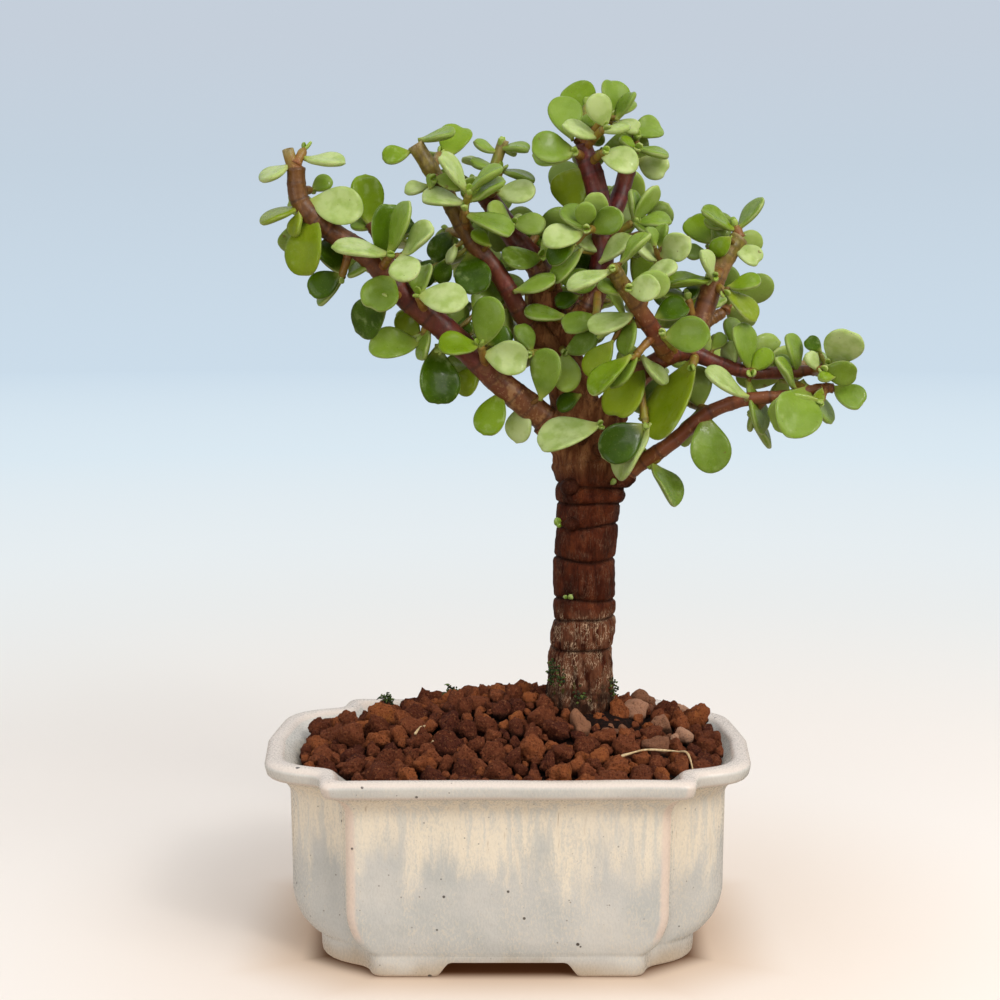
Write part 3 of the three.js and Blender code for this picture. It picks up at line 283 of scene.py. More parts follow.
# Leaves at the front of the crown, by colour, each as read off the photo: the pixels x and y of its root and
# of its tip, how many pixels wide its blade looks, and 1 if it leans to the camera or -1 if away
SEEN_LEAVES = {
    "pale": [
        (288, 166, 241, 192, 19, 1), (310, 201, 362, 210, 40, 1), (304, 158, 344, 167, 16, 1),
        (388, 254, 333, 246, 21, 1), (402, 255, 408, 279, 33, 1), (402, 255, 438, 229, 22, 1),
        (418, 295, 467, 301, 33, 1), (484, 354, 529, 362, 35, 1), (525, 404, 518, 442, 26, -1),
        (466, 190, 439, 153, 18, 1), (464, 203, 421, 196, 20, 1), (496, 192, 536, 195, 27, 1),
        (429, 186, 405, 192, 14, 1), (482, 165, 462, 158, 7, -1), (511, 226, 524, 216, 12, -1),
        (456, 245, 449, 264, 8, -1), (598, 137, 562, 128, 20, 1), (606, 127, 594, 94, 27, 1),
        (600, 131, 631, 128, 10, 1), (612, 124, 641, 129, 17, 1), (638, 160, 667, 172, 28, 1),
        (600, 153, 638, 166, 29, 1), (583, 233, 543, 243, 27, 1), (604, 251, 567, 236, 20, 1),
        (601, 262, 631, 236, 18, 1), (662, 258, 690, 238, 30, 1), (659, 261, 636, 247, 16, 1),
        (610, 271, 567, 289, 17, 1), (633, 314, 590, 335, 23, 1), (567, 385, 576, 352, 16, -1),
        (643, 357, 663, 388, 15, 1), (628, 290, 660, 288, 28, 1), (640, 284, 677, 264, 18, 1),
        (713, 278, 700, 251, 14, 1), (599, 425, 537, 443, 31, 1), (650, 426, 614, 477, 26, -1),
        (735, 246, 760, 265, 22, 1), (729, 376, 732, 341, 14, 1), (746, 396, 703, 374, 20, 1),
        (833, 365, 852, 330, 40, 1), (818, 370, 807, 352, 14, -1),
    ],
    "yellow": [
        (370, 226, 363, 175, 33, -1), (479, 345, 438, 351, 25, 1), (501, 393, 484, 436, 32, 1),
        (410, 152, 382, 159, 20, 1), (446, 157, 463, 124, 33, -1), (490, 246, 472, 231, 13, -1),
        (594, 112, 563, 84, 36, -1), (636, 149, 620, 137, 10, 1), (629, 357, 589, 392, 20, 1),
        (712, 279, 664, 286, 15, 1), (641, 415, 660, 425, 14, -1), (735, 230, 699, 213, 17, 1),
        (712, 243, 690, 220, 30, -1), (731, 237, 711, 254, 20, -1), (729, 287, 761, 280, 17, 1),
        (752, 371, 771, 350, 20, -1), (836, 368, 855, 367, 10, -1), (834, 378, 818, 376, 11, 1),
    ],
    "green": [
        (312, 190, 331, 179, 18, -1), (343, 277, 316, 303, 14, 1), (369, 229, 352, 221, 16, -1),
        (389, 252, 411, 203, 21, 1), (379, 260, 345, 272, 14, -1), (391, 274, 370, 311, 38, 1),
        (419, 343, 369, 347, 33, 1), (429, 330, 419, 361, 12, 1), (474, 314, 495, 281, 33, -1),
        (481, 345, 495, 297, 34, 1), (531, 352, 520, 322, 20, -1), (420, 140, 456, 136, 13, 1),
        (467, 191, 504, 170, 12, 1), (471, 200, 507, 183, 14, 1), (430, 189, 434, 174, 9, -1),
        (495, 168, 470, 163, 11, 1), (496, 152, 473, 144, 11, 1), (500, 148, 531, 148, 10, 1),
        (501, 170, 535, 180, 11, 1), (466, 214, 514, 233, 22, 1), (537, 254, 500, 268, 20, 1),
        (572, 138, 560, 100, 35, -1), (597, 128, 583, 116, 14, -1), (614, 119, 612, 72, 30, -1),
        (617, 119, 635, 92, 12, -1), (632, 133, 661, 127, 27, -1), (637, 148, 669, 156, 11, 1),
        (575, 153, 530, 146, 33, 1), (584, 227, 586, 202, 22, 1), (592, 232, 623, 213, 28, 1),
        (621, 263, 648, 233, 10, 1), (634, 220, 632, 189, 10, 1), (636, 222, 671, 222, 16, 1),
        (650, 221, 669, 208, 18, -1), (660, 248, 664, 223, 13, -1), (655, 247, 649, 226, 10, -1),
        (581, 250, 550, 281, 18, 1), (516, 291, 556, 276, 18, 1), (620, 294, 597, 281, 14, 1),
        (566, 317, 524, 312, 17, 1), (600, 318, 561, 327, 24, 1), (632, 318, 628, 356, 16, 1),
        (541, 398, 555, 349, 32, 1), (664, 336, 710, 334, 37, 1), (652, 463, 677, 506, 22, 1),
        (706, 416, 713, 473, 42, 1), (738, 229, 765, 201, 11, -1), (735, 346, 728, 318, 20, -1),
        (751, 370, 739, 323, 26, 1), (712, 350, 725, 334, 14, -1), (748, 382, 764, 433, 20, 1),
        (750, 415, 771, 447, 10, -1), (790, 376, 778, 354, 18, -1), (795, 389, 777, 358, 12, 1),
        (799, 372, 788, 334, 19, 1), (838, 372, 816, 353, 9, 1), (838, 370, 854, 382, 8, 1),
        (834, 387, 867, 411, 28, 1), (803, 382, 829, 426, 18, 1), (807, 388, 789, 436, 50, 1),
    ],
    # Dark leaves: their darkness is partly their own and partly the shade they stood in, painted into their
    # colour
    "dark": [
        (342, 274, 318, 240, 25, -1), (341, 274, 309, 293, 28, 1), (392, 236, 414, 222, 18, -1),
        (386, 300, 358, 331, 40, -1), (437, 347, 437, 407, 41, 1), (473, 334, 460, 320, 15, -1),
        (488, 345, 512, 330, 21, -1), (545, 247, 528, 221, 28, -1), (454, 232, 429, 259, 25, -1),
        (440, 260, 416, 284, 26, -1), (468, 254, 478, 293, 37, 1), (448, 258, 440, 282, 20, -1),
        (592, 250, 573, 271, 24, -1), (575, 245, 548, 262, 22, -1), (579, 296, 555, 304, 18, -1),
        (655, 318, 688, 302, 26, -1), (700, 286, 684, 300, 14, 1), (643, 425, 602, 458, 40, 1),
        (580, 395, 556, 408, 18, -1), (821, 352, 806, 338, 16, -1),
    ],
    "olive": [
        (298, 208, 245, 224, 17, 1), (312, 212, 302, 277, 40, 1), (300, 212, 293, 237, 14, -1),
        (375, 234, 391, 207, 30, -1), (420, 336, 398, 313, 24, -1), (479, 368, 458, 392, 26, -1),
        (588, 168, 557, 203, 40, -1), (612, 301, 580, 303, 22, -1), (612, 342, 588, 376, 26, -1),
        (583, 368, 562, 388, 20, -1), (640, 360, 618, 422, 36, 1), (693, 360, 655, 440, 36, 1),
        (727, 290, 755, 321, 22, 1), (822, 388, 817, 403, 12, -1),
    ],
    "grey": [
        (641, 418, 674, 379, 34, -1), (706, 252, 684, 252, 17, 1),
    ],
}


def seeded_random(seed):
    """Numbers from 0 to 1, by the usual linear congruential rule on 32 bits."""
    state = seed

    def draw():
        nonlocal state
        state = (state * 1664525 + 1013904223) % 2**32
        return state / 2**32

    return draw


def unit(vector):
    return vector / math.sqrt(float(vector @ vector))


def mix(a, b, share):
    return a + (b - a) * share


def smooth(a, b, x):
    """Eased step from 0 where x is at a to 1 where it is at b."""
    share = np.clip((np.asarray(x, float) - a) / (b - a), 0, 1)
    return share * share * (3 - 2 * share)


UP = np.array([0.0, 0.0, 1.0])
BACK = np.array([0.0, 1.0, 0.0])


def curve_point(line, t):
    """Smooth curve through the points of a route, from 0 at its start to 1 at its end."""
    points = np.asarray(line, float)
    n = len(points) - 1
    s = min(t, 1.0) * n
    i = min(int(s), n - 1)
    w = s - i
    p1, p2 = points[i], points[i + 1]
    p0 = points[i - 1] if i > 0 else 2 * p1 - p2
    p3 = points[i + 2] if i + 2 <= n else 2 * p2 - p1
    v0 = (p2 - p0) / 2
    v1 = (p3 - p1) / 2
    cubic = (2 * p1 - 2 * p2 + v0 + v1) * w**3
    return cubic + (-3 * p1 + 3 * p2 - 2 * v0 - v1) * w * w + v0 * w + p1


def curve_length(line):
    steps = 40
    points = np.array([curve_point(line, i / steps) for i in range(steps + 1)])
    return float(np.linalg.norm(np.diff(points, axis=0), axis=1).sum())


# Leaves. Where along its length a blade is widest, and how wide its root is as a share of that width
WIDEST = 0.62
ROOT_WIDTH = 0.1
# How light, young, silvery and olive a leaf is
LOOKS = ("tone", "young", "silver", "olive")


def half_width(u):
    """Half-width at a place along the blade, as a share of the widest place."""
    if u < WIDEST:
        return ROOT_WIDTH + (1 - ROOT_WIDTH) * math.sin(math.pi / 2 * max(u, 0) / WIDEST) ** 0.95
    return math.sqrt(max(0.0, 1 - ((u - WIDEST) / (1 - WIDEST)) ** 2))


def leaf_point(leaf, u, v):
    """A point of the blade's middle layer, u from its root to its tip and v from side to side."""
    side = v * half_width(u) * leaf["half"]
    lift = leaf["bend"] * leaf["length"] * u * u + leaf["cup"] * leaf["half"] * v * v
    return leaf["base"] + leaf["along"] * leaf["length"] * u + leaf["across"] * side + leaf["face"] * lift


# Places on the blade, along and across it, that are tested against other leaves and stems
SAMPLES = [
    (0.42, 0), (0.62, 0), (0.82, 0), (1.0, 0), (0.5, -1), (0.5, 1), (0.68, -1), (0.68, 1),
    (0.85, -1), (0.85, 1), (0.96, -1), (0.96, 1), (0.62, -0.5), (0.62, 0.5), (0.85, -0.45), (0.85, 0.45),
    (0.3, -1), (0.3, 1),
]


def with_samples(leaf):
    leaf["samples"] = np.array([leaf_point(leaf, u, v) for u, v in SAMPLES])
    leaf["centre"] = leaf_point(leaf, WIDEST, 0)
    return leaf


# How far a blade turns up to the light
LIGHT_PULL = 0.25


def make_leaf(base, axis, turn, opening, twist, length, half, bend, cup):
    """A leaf on a shoot, by its turn round the shoot, how far it opens from it and the twist of its blade."""
    side = unit(np.cross(axis, UP if abs(axis[2]) < 0.9 else BACK))
    outward = side * math.cos(turn) + np.cross(side, axis) * math.sin(turn)
    along = axis * math.cos(opening) + outward * math.sin(opening)
    inner = axis * math.sin(opening) - outward * math.cos(opening)
    lit = unit(inner + LIGHT_PULL * (UP - along * float(along @ UP)))
    wide = np.cross(lit, along)
    return with_samples({
        "base": base, "along": along, "length": length, "half": half, "bend": bend, "cup": cup,
        "face": lit * math.cos(twist) + wide * math.sin(twist),
        "across": wide * math.cos(twist) - lit * math.sin(twist),
    })


# The camera stands where the photo's did, and a pixel is one of the photo's 1000 by 1000
CAMERA_PLACE = np.array([-2.0, -480.0, 177.0])
CAMERA_DIP = math.radians(7.05)
FOCUS_PIXELS = 1810
MIDDLE_PIXEL = 500
AHEAD = np.array([0, math.cos(CAMERA_DIP), -math.sin(CAMERA_DIP)])
ABOVE = np.array([0, math.sin(CAMERA_DIP), math.cos(CAMERA_DIP)])
RIGHT = np.array([1.0, 0, 0])


def pixels_of(points):
    """Where the photo shows some points."""
    away = np.asarray(points, float) - CAMERA_PLACE
    seen = np.stack([away @ RIGHT, -(away @ ABOVE)], axis=-1)
    return MIDDLE_PIXEL + FOCUS_PIXELS * seen / (away @ AHEAD)[..., None]


def point_behind(pixel, y):
    """The point that a pixel shows, at a given place from front to back."""
    across, down = (np.asarray(pixel, float) - MIDDLE_PIXEL) / FOCUS_PIXELS
    ray = AHEAD + across * RIGHT - down * ABOVE
    return CAMERA_PLACE + ray * (y - CAMERA_PLACE[1]) / ray[1]


# Which way a front leaf turns its blade, and the box that all leaves have to stay in, with a margin
FACING = unit(np.array([0.0, -1.0, 0.12]))
LEAF_MARGIN = 1.2
BOX_LOW, BOX_HIGH = (np.array(corner) * 1000 - CENTRE * 1000 for corner in CAD_BOX)


def in_box(leaf):
    low, high = BOX_LOW + LEAF_MARGIN, BOX_HIGH - LEAF_MARGIN
    return bool(np.all(leaf["samples"] > low) and np.all(leaf["samples"] < high))


def place_leaf(base, reach, half, roll, bend, cup):
    """A leaf by its reach from root to tip, its blade facing the front and rolled upwards about it."""
    along = unit(reach)
    front = unit(FACING - along * float(FACING @ along))
    other = np.cross(along, front)
    above = other if other[2] > 0 else -other
    face = unit(front * math.cos(roll) + above * math.sin(roll))
    return with_samples({
        "base": base, "along": along, "length": math.sqrt(float(reach @ reach)), "half": half, "bend": bend,
        "cup": cup, "face": face, "across": np.cross(face, along),
    })


# How light, young, silvery and olive the leaves of each colour are
LEAF_LOOKS = {
    "pale": (0.75, 0.3, 0.95, 0), "yellow": (0.42, 0.45, 0, 0), "green": (0.5, 0.16, 0.22, 0.1),
    # The dark leaves' colour is partly painted shade
    "dark": (0, 0, 0, 0), "olive": (0.65, 0, 0, 0.85), "grey": (0.3, 0, 0.4, 0),
}


def nearest_stem(point, stems):
    """Stem nearest to a leaf's root, its nearest point and the gap to there."""
    best = None
    for stem in stems:
        along = stem["to"] - stem["from"]
        t = min(max(float((point - stem["from"]) @ along) / float(along @ along), 0), 1)
        foot = stem["from"] + along * t
        gap = math.sqrt(float((point - foot) @ (point - foot))) - stem["radius"]
        if best is None or gap < best[2]:
            best = (stem, foot, gap)
    return best


# How many pixels a millimetre of the crown takes, and how many pixels each millimetre farther back counts for
PIXELS_PER_MM = 3.7
FARTHER_COST = 0.05


def stem_in_view(pixel, stems):
    """How far back the stem lies that looks nearest to a leaf's root. The back limbs don't count."""
    best = None
    for stem in stems:
        if stem["limb"].startswith("back"):
            continue
        start, run = stem["pixels"][0], stem["pixels"][1] - stem["pixels"][0]
        share = min(max(float((pixel - start) @ run) / float(run @ run), 0), 1)
        gap = math.dist(pixel, start + run * share) - stem["radius"] * PIXELS_PER_MM
        y = mix(stem["from"][1], stem["to"][1], share)
        cost = max(gap, 0) + FARTHER_COST * y
        if best is None or cost < best[0]:
            best = (cost, y)
    return best[1]


# A whole blade is BLADE_RATIO as wide as it is long, or up to WIDEST_RATIO. One that looks wider leans to or
# from the camera, by at most MOST_LEAN of its length, and one that looks narrower is rolled about its length
# and leans slightly
BLADE_RATIO = 0.74
WIDEST_RATIO = 0.94
SLIGHT_LEAN = 0.2
MOST_LEAN = 0.8
# A leaf that sticks out of the box is shortened to this share until it fits
SHORTER = 0.97


def read_leaf(reading, y, bend, cup):
    """A leaf with its root at a given place from front to back, where the photo shows it."""
    root_x, root_y, tip_x, tip_y, wide, lean = reading
    base = point_behind((root_x, root_y), y)
    scale = float((base - CAMERA_PLACE) @ AHEAD) / FOCUS_PIXELS
    seen_length = math.dist((root_x, root_y), (tip_x, tip_y)) * scale
    wide = wide * scale
    if wide > BLADE_RATIO * seen_length:
        length = wide / BLADE_RATIO
        depth = min(math.sqrt(length**2 - seen_length**2), MOST_LEAN * length)
    else:
        length = seen_length
        depth = SLIGHT_LEAN * length
    reach = point_behind((tip_x, tip_y), y - lean * depth) - base
    length = math.sqrt(float(reach @ reach))
    half = max(min(wide / 2, WIDEST_RATIO / 2 * length), BLADE_RATIO / 2 * length)
    roll = math.acos(min(1, wide / (2 * half)))
    leaf = place_leaf(base, reach, half, roll, bend, cup)
    while not in_box(leaf):
        reach = reach * SHORTER
        leaf = place_leaf(base, reach, half, roll, bend, cup)
    return leaf


# How far apart the middles of two leaves can be that still cross, at the front and by the rule
FRONT_LEAF_SPAN = 26
RULE_LEAF_SPAN = 22
# How far front leaves keep from each other and from stems
FRONT_LEAF_CLEARANCE = 0.1
FRONT_STEM_CLEARANCE = 0.2


def count_crossings(leaf, leaves, stems):
    """How many of the leaves and stems a front leaf runs into."""
    count = 0
    for other in leaves:
        if math.dist(other["centre"], leaf["centre"]) < FRONT_LEAF_SPAN:
            pairs = ((leaf["samples"], other), (other["samples"], leaf))
            count += any(leaf_crosses(samples, blade, FRONT_LEAF_CLEARANCE) for samples, blade in pairs)
    return count + sum(stem_crosses(leaf["samples"][1:-2], stem, FRONT_STEM_CLEARANCE) for stem in stems)


# How far a front leaf is moved to the front or the back to miss what it would cross, and what a crossing and
# a millimetre of that move cost. The first place that costs less than GOOD_ENOUGH is taken
DEPTH_SHIFTS = (0, -1.5, 1.5, -3, 3, -4.5, 4.5, -6, 6, -8, 8)
CROSSING_COST = 3
SHIFT_COST = 0.25
GOOD_ENOUGH = 1.3
# How far a front leaf bends and cups, least and most, and how much lighter or darker than its colour it is
FRONT_BEND = (-0.1, 0.12)
FRONT_CUP = (0.02, 0.3)
FRONT_TONE = (-0.12, 0.12)


def seen_area(item):
    """Length times width of a leaf in the photo."""
    root_x, root_y, tip_x, tip_y, wide, _ = item[1]
    return math.dist((root_x, root_y), (tip_x, tip_y)) * wide


def front_leaves(stems):
    """The leaves that the photo shows, largest first, each placed from front to back where it fits best."""
    chance = random.Random(FRONT_LEAF_SEED)
    readings = [(colour, reading) for colour, rows in SEEN_LEAVES.items() for reading in rows]
    readings.sort(key=seen_area, reverse=True)
    for stem in stems:
        stem["pixels"] = pixels_of([stem["from"], stem["to"]])
    leaves = []
    for colour, reading in readings:
        bend, cup = chance.uniform(*FRONT_BEND), chance.uniform(*FRONT_CUP)
        y = stem_in_view(np.array(reading[:2]), stems)
        best = None
        for shift in DEPTH_SHIFTS:
            leaf = read_leaf(reading, y + shift, bend, cup)
            stem, foot, gap = nearest_stem(leaf["base"], stems)
            others = [other for other in stems if other["shoot"] < 0 or other["shoot"] != stem["shoot"]]
            cost = CROSSING_COST * count_crossings(leaf, leaves, others) + SHIFT_COST * abs(shift)
            if best is None or cost < best[0]:
                best = (cost, leaf, stem, foot, gap)
            if best[0] < GOOD_ENOUGH:
                break
        cost, leaf, stem, foot, gap = best
        leaf.update(zip(LOOKS, LEAF_LOOKS[colour]))
        leaf.update(limb=stem["limb"], shoot=stem["shoot"], foot=foot, gap=gap)
        leaf["tone"] += chance.uniform(*FRONT_TONE)
        leaves.append(leaf)
    return leaves


# How far the leaves of the rule keep from other leaves and from stems
LEAF_CLEARANCE = 0.25
STEM_CLEARANCE = 0.9
# These tests take a blade for an ellipsoid: its half-length as a share of its length, and its half-thickness
BLADE_REACH = 0.44
BLADE_HALF_THICKNESS = 1.5


def leaf_crosses(samples, leaf, clearance):
    away = samples - leaf["centre"]
    a = away @ leaf["along"] / (leaf["length"] * BLADE_REACH + clearance)
    b = away @ leaf["across"] / (leaf["half"] + clearance)
    c = away @ leaf["face"] / (BLADE_HALF_THICKNESS + clearance)
    return bool(np.any(a * a + b * b + c * c < 1))


def stem_crosses(samples, stem, clearance):
    along = stem["to"] - stem["from"]
    away = samples - stem["from"]
    t = np.clip(away @ along / float(along @ along), 0, 1)
    gap = away - t[:, None] * along
    return bool(np.any((gap * gap).sum(axis=1) < (stem["radius"] + clearance) ** 2))


def is_clear(leaf, shoot, leaves, stems):
    """Whether a leaf of the rule misses all the leaves and stems that there are."""
    for other in leaves:
        gap = other["centre"] - leaf["centre"]
        if float(gap @ gap) < RULE_LEAF_SPAN**2:
            if leaf_crosses(leaf["samples"], other, LEAF_CLEARANCE):
                return False
            if leaf_crosses(other["samples"], leaf, LEAF_CLEARANCE):
                return False
    for stem in stems:
        if stem["shoot"] == shoot["index"]:
            continue
        own = stem["limb"] == shoot["limb"] and stem["shoot"] < 0
        if stem_crosses(leaf["samples"][1:-2] if own else leaf["samples"], stem, STEM_CLEARANCE):
            return False
    return True


# A leaf of the rule stays where the front leaves hide at least this share of it from the camera. In the core
# of the crown, which the photo shows as closed, it stays wherever it lies behind the middle of the pot
HIDDEN_SHARE = 0.35
CROWN_CORE = (28, 166)
CORE_RADIUS = 34


def is_wanted(leaf, ovals):
    """Whether a leaf of the rule fills the crown without closing a gap that the photo shows."""
    x, y, z = leaf["centre"]
    in_core = math.dist((x, z), CROWN_CORE) < CORE_RADIUS and y > 0
    return in_core or hidden_share(leaf, ovals) >= HIDDEN_SHARE


def seen_oval(leaf):
    """The oval that a leaf covers in the photo: its middle, axes that give 1 at its edge, and its depth."""
    root, tip, left, right = pixels_of(
        [leaf["base"], leaf["base"] + leaf["along"] * leaf["length"]]
        + [leaf_point(leaf, WIDEST, side) for side in (-1, 1)]
    )
    along = unit(tip - root)
    across = np.array([-along[1], along[0]])
    half_long = math.dist(root, tip) / math.sqrt(2)
    half_wide = abs(float((right - left) @ across)) / 2 + 1
    return (root + tip) / 2, along / half_long, across / half_wide, leaf["centre"][1]


def hidden_share(leaf, ovals):
    """How much of a leaf the front leaves before it hide from the camera."""
    pixels = pixels_of(leaf["samples"])
    hidden = np.zeros(len(pixels), bool)
    for middle, along, across, y in ovals:
        if y < leaf["centre"][1]:
            away = pixels - middle
            hidden |= (away @ along) ** 2 + (away @ across) ** 2 < 1
    return float(hidden.mean())


# The trunk for the leaves to miss, and its leader: as thick as this up to a share of its line, then thinner
TRUNK_RADIUS = 9.3
LEADER_RADIUS = 4.8
NARROWS_FROM = 0.5
NARROWS_OVER = 0.35


def trunk_radius(t):
    return mix(TRUNK_RADIUS, LEADER_RADIUS, min(max((t - NARROWS_FROM) / NARROWS_OVER, 0), 1))


def list_stems(shoots):
    """Every straight stretch of stem that leaves have to miss."""
    stems = []
    parts = 16
    tubes = [("trunk", TRUNK_LINE, trunk_radius)]
    for name, limb in LIMBS.items():
        tubes.append((name, limb["line"], lambda t, limb=limb: mix(*limb["radii"], t)))
    for name, line, radius in tubes:
        for i in range(parts):
            stems.append({
                "limb": name, "shoot": -1, "radius": radius((i + 0.5) / parts),
                "from": curve_point(line, i / parts), "to": curve_point(line, (i + 1) / parts),
            })
    for shoot in shoots:
        stems.append({
            "limb": shoot["limb"], "shoot": shoot["index"], "radius": SHOOT_RADIUS,
            "from": shoot["from"], "to": shoot["to"],
        })
    return stems


# Where the crown's rim begins, upwards and from side to side, and where it is full
RIM_HEIGHTS = (150, 230)
RIM_SIDES = (30, 60)
# Leaves shorter than the first are partly young, and those shorter than the second are young
YOUNG_LENGTHS = (13.5, 10)


def looks(leaf, tone):
    """Colour of a leaf of the rule: young and pale at the crown's rim and where it is small."""
    x, _, z = leaf["centre"]
    low, high = RIM_HEIGHTS
    outward = max(0, (z - low) / (high - low)) * 0.28 + 0.16 * smooth(*RIM_SIDES, abs(x))
    small = 0.4 * smooth(*YOUNG_LENGTHS, leaf["length"])
    young = float(np.clip(outward + small + 0.45 * (tone - 0.42), 0, 1))
    olive = 0.5 * (tone * 7 % 1) ** 2
    return {"tone": 0.85 * tone, "young": 0.55 * young, "silver": 0.6 * young, "olive": olive}


# Leaves of the rule. Each spread is the whole range that a value is drawn from, and angles are degrees. The
# pairs below the last one have somewhat shorter leaves, which open by the same angle on every shoot
LENGTH_SPREAD = 0.24
LOWER_LENGTH = 0.95
HALF_WIDTH_SHARE = 0.345
HALF_WIDTH_SPREAD = 0.1
TURN_SPREAD = 20
LOWER_OPENING = 72
OPENING_SPREAD = 14
TWIST_SPREAD = 84
BEND_SPREAD = 0.22
CUP = 0.1
CUP_SPREAD = 0.25
# A leaf that would cross something is tried again, turned further, opened otherwise and a little smaller
ATTEMPTS = 16
TURN_STEP = 11
OPENING_STEP = 9
SIZE_STEP = 0.02


def rule_leaves(shoot, level, half, jitter):
    """The leaves to try for one side of a pair, the best first."""
    run = shoot["to"] - shoot["from"]
    base = shoot["from"] + run * (level + 1) / shoot["pairs"]
    last = level == shoot["pairs"] - 1
    length = shoot["size"] * (1 + LENGTH_SPREAD * jitter[0]) * (1 if last else LOWER_LENGTH)
    wide = length * (HALF_WIDTH_SHARE + HALF_WIDTH_SPREAD * jitter[1])
    quarter = math.pi / 2 * (shoot["pairs"] - 1 - level)
    turn = math.radians(shoot["turn"] + TURN_SPREAD * jitter[4]) + quarter + math.pi * half
    opening = math.radians((shoot["opening"] if last else LOWER_OPENING) + OPENING_SPREAD * jitter[5])
    twist = math.radians(TWIST_SPREAD * jitter[6])
    for attempt in range(ATTEMPTS):
        step = (attempt + 1) // 2 * (1 if attempt % 2 else -1)
        wider = math.radians(OPENING_STEP) * (attempt % 3 - 1) if attempt > 2 else 0
        size = 1 - SIZE_STEP * attempt
        yield make_leaf(
            base, unit(run), turn + math.radians(TURN_STEP) * step, opening + wider,
            twist if attempt % 4 < 2 else -twist, length * size, wide * size,
            BEND_SPREAD * jitter[2], CUP + CUP_SPREAD * jitter[3],
        )


def grow_leaves(shoots):
    """
    The front leaves, and behind and between them leaves in opposite pairs, each pair turned a quarter from
    the one below it, clear of what they would cross.
    """
    stems = list_stems(shoots)
    draw = seeded_random(LEAF_SEED)
    leaves = front_leaves(stems)
    ovals = [seen_oval(leaf) for leaf in leaves]
    for shoot in shoots:
        for level, half in [(level, half) for level in range(shoot["pairs"]) for half in (0, 1)]:
            jitter = [draw() - 0.5 for _ in range(8)]
            tries = rule_leaves(shoot, level, half, jitter)
            fits = (leaf for leaf in tries if in_box(leaf) and is_clear(leaf, shoot, leaves, stems))
            leaf = next(fits, None)
            if leaf and is_wanted(leaf, ovals):
                leaf.update(looks(leaf, jitter[7] + 0.5), limb=shoot["limb"], shoot=shoot["index"], gap=0)
                leaves.append(leaf)
    return leaves


# Mesh helpers
class Bundle:
    """Points, faces and per-point values that end up in one mesh."""

    def __init__(self, *keys):
        self.points = []
        self.faces = []
        self.values = {key: [] for key in keys}
        self.count = 0

    def add(self, points, faces, **values):
        self.points.append(np.asarray(points, float))
        self.faces.extend((np.asarray(face) + self.count).tolist() for face in faces)
        for key, stored in self.values.items():
            stored.append(np.broadcast_to(np.asarray(values.get(key, 0.0), float), (len(points),)))
        self.count += len(points)

    def piece(self, name, material, slot, replaces=()):
        mesh = bpy.data.meshes.new(name)
        points = np.concatenate(self.points) / 1000 + CENTRE
        mesh.from_pydata(points.tolist(), [], self.faces)
        for key, stored in self.values.items():
            layer = mesh.attributes.new(key, "FLOAT", "POINT")
            layer.data.foreach_set("value", np.concatenate(stored).astype(np.float32))
        return add_piece(name, mesh, material, replaces)


def add_piece(name, mesh, material, replaces=()):
    """A smooth piece that rides on the root body, and the CAD nodes that it stands in for."""
    mesh.polygons.foreach_set("use_smooth", [True] * len(mesh.polygons))
    mesh.materials.clear()
    mesh.materials.append(material)
    mesh.update()
    piece = bpy.data.objects.new(name, mesh)
    bpy.context.scene.collection.objects.link(piece)
    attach(piece, "root")
    if replaces:
        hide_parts(*replaces)
    return piece


def grid_faces(rings, sides):
    """Quads between rings of points, each ring joined to the next."""
    faces = []
    for r in range(rings - 1):
        for k in range(sides):
            a, b = r * sides + k, r * sides + (k + 1) % sides
            faces.append((a, b, b + sides, a + sides))
    return faces


def closed_faces(rings, sides):
    """The same quads with a face over each end."""
    first = tuple(range(sides))[::-1]
    last = tuple((rings - 1) * sides + k for k in range(sides))
    return [*grid_faces(rings, sides), first, last]


def tube_rings(centres, radii, sides):
    """Points of a tube round a path. Radii are one per ring, or one per point of each ring."""
    centres = np.asarray(centres, float)
    radii = np.asarray(radii, float)
    if radii.ndim == 1:
        radii = np.repeat(radii[:, None], sides, axis=1)
    along = np.gradient(centres, axis=0)
    along /= np.linalg.norm(along, axis=1)[:, None]
    across = BACK if abs(along[0][1]) < 0.9 else np.array([1.0, 0, 0])
    angles = np.arange(sides) * 2 * math.pi / sides
    rings = []
    for centre, direction, radius in zip(centres, along, radii):
        across = unit(across - direction * float(across @ direction))
        other = np.cross(direction, across)
        spokes = np.cos(angles)[:, None] * across + np.sin(angles)[:, None] * other
        rings.append(centre + spokes * radius[:, None])
    return np.array(rings)


def add_tube(bundle, centres, radii, sides, **values):
    """A closed tube. Values are one for all of it, or one per ring."""
    rings = tube_rings(centres, radii, sides)
    spread = {}
    for key, value in values.items():
        value = np.asarray(value, float)
        spread[key] = np.repeat(value, sides) if value.ndim else value
    bundle.add(rings.reshape(-1, 3), closed_faces(len(rings), sides), **spread)


def roughness_noise(points, size, seed):
    """Noise at each point, with features of about the given size in millimetres."""
    shift = Vector((seed * 7.31, seed * 3.17, seed * 5.71))
    return np.array([noise.noise(Vector(p) / size + shift) for p in points])


# Leaf blades. Where the rings of a blade are, from its root to its tip, how many points each has, and how
# square its section is: 1 is an ellipse, and less is squarer
STATIONS = np.array([
    -0.05, 0, 0.05, 0.11, 0.18, 0.26, 0.35, 0.44, 0.53, 0.62, 0.7, 0.78, 0.85, 0.905, 0.95, 0.98, 0.994, 1,
])
LEAF_SIDES = 18
SECTION = 0.8
# How far a blade swells over and under its middle layer, and the share of that which its root has at least
UPPER_SWELL = 1.0
LOWER_SWELL = 1.12
ROOT_SWELL = 0.62
# How far a tip is notched or drawn out, as a share of the length, and how steeply a blade is folded
NOTCHES = (0, 0, 0, 0.035, 0.07)
POINTS = (0, 0, 0.03)
FOLDS = (0, 0, 0.1, 0.22)
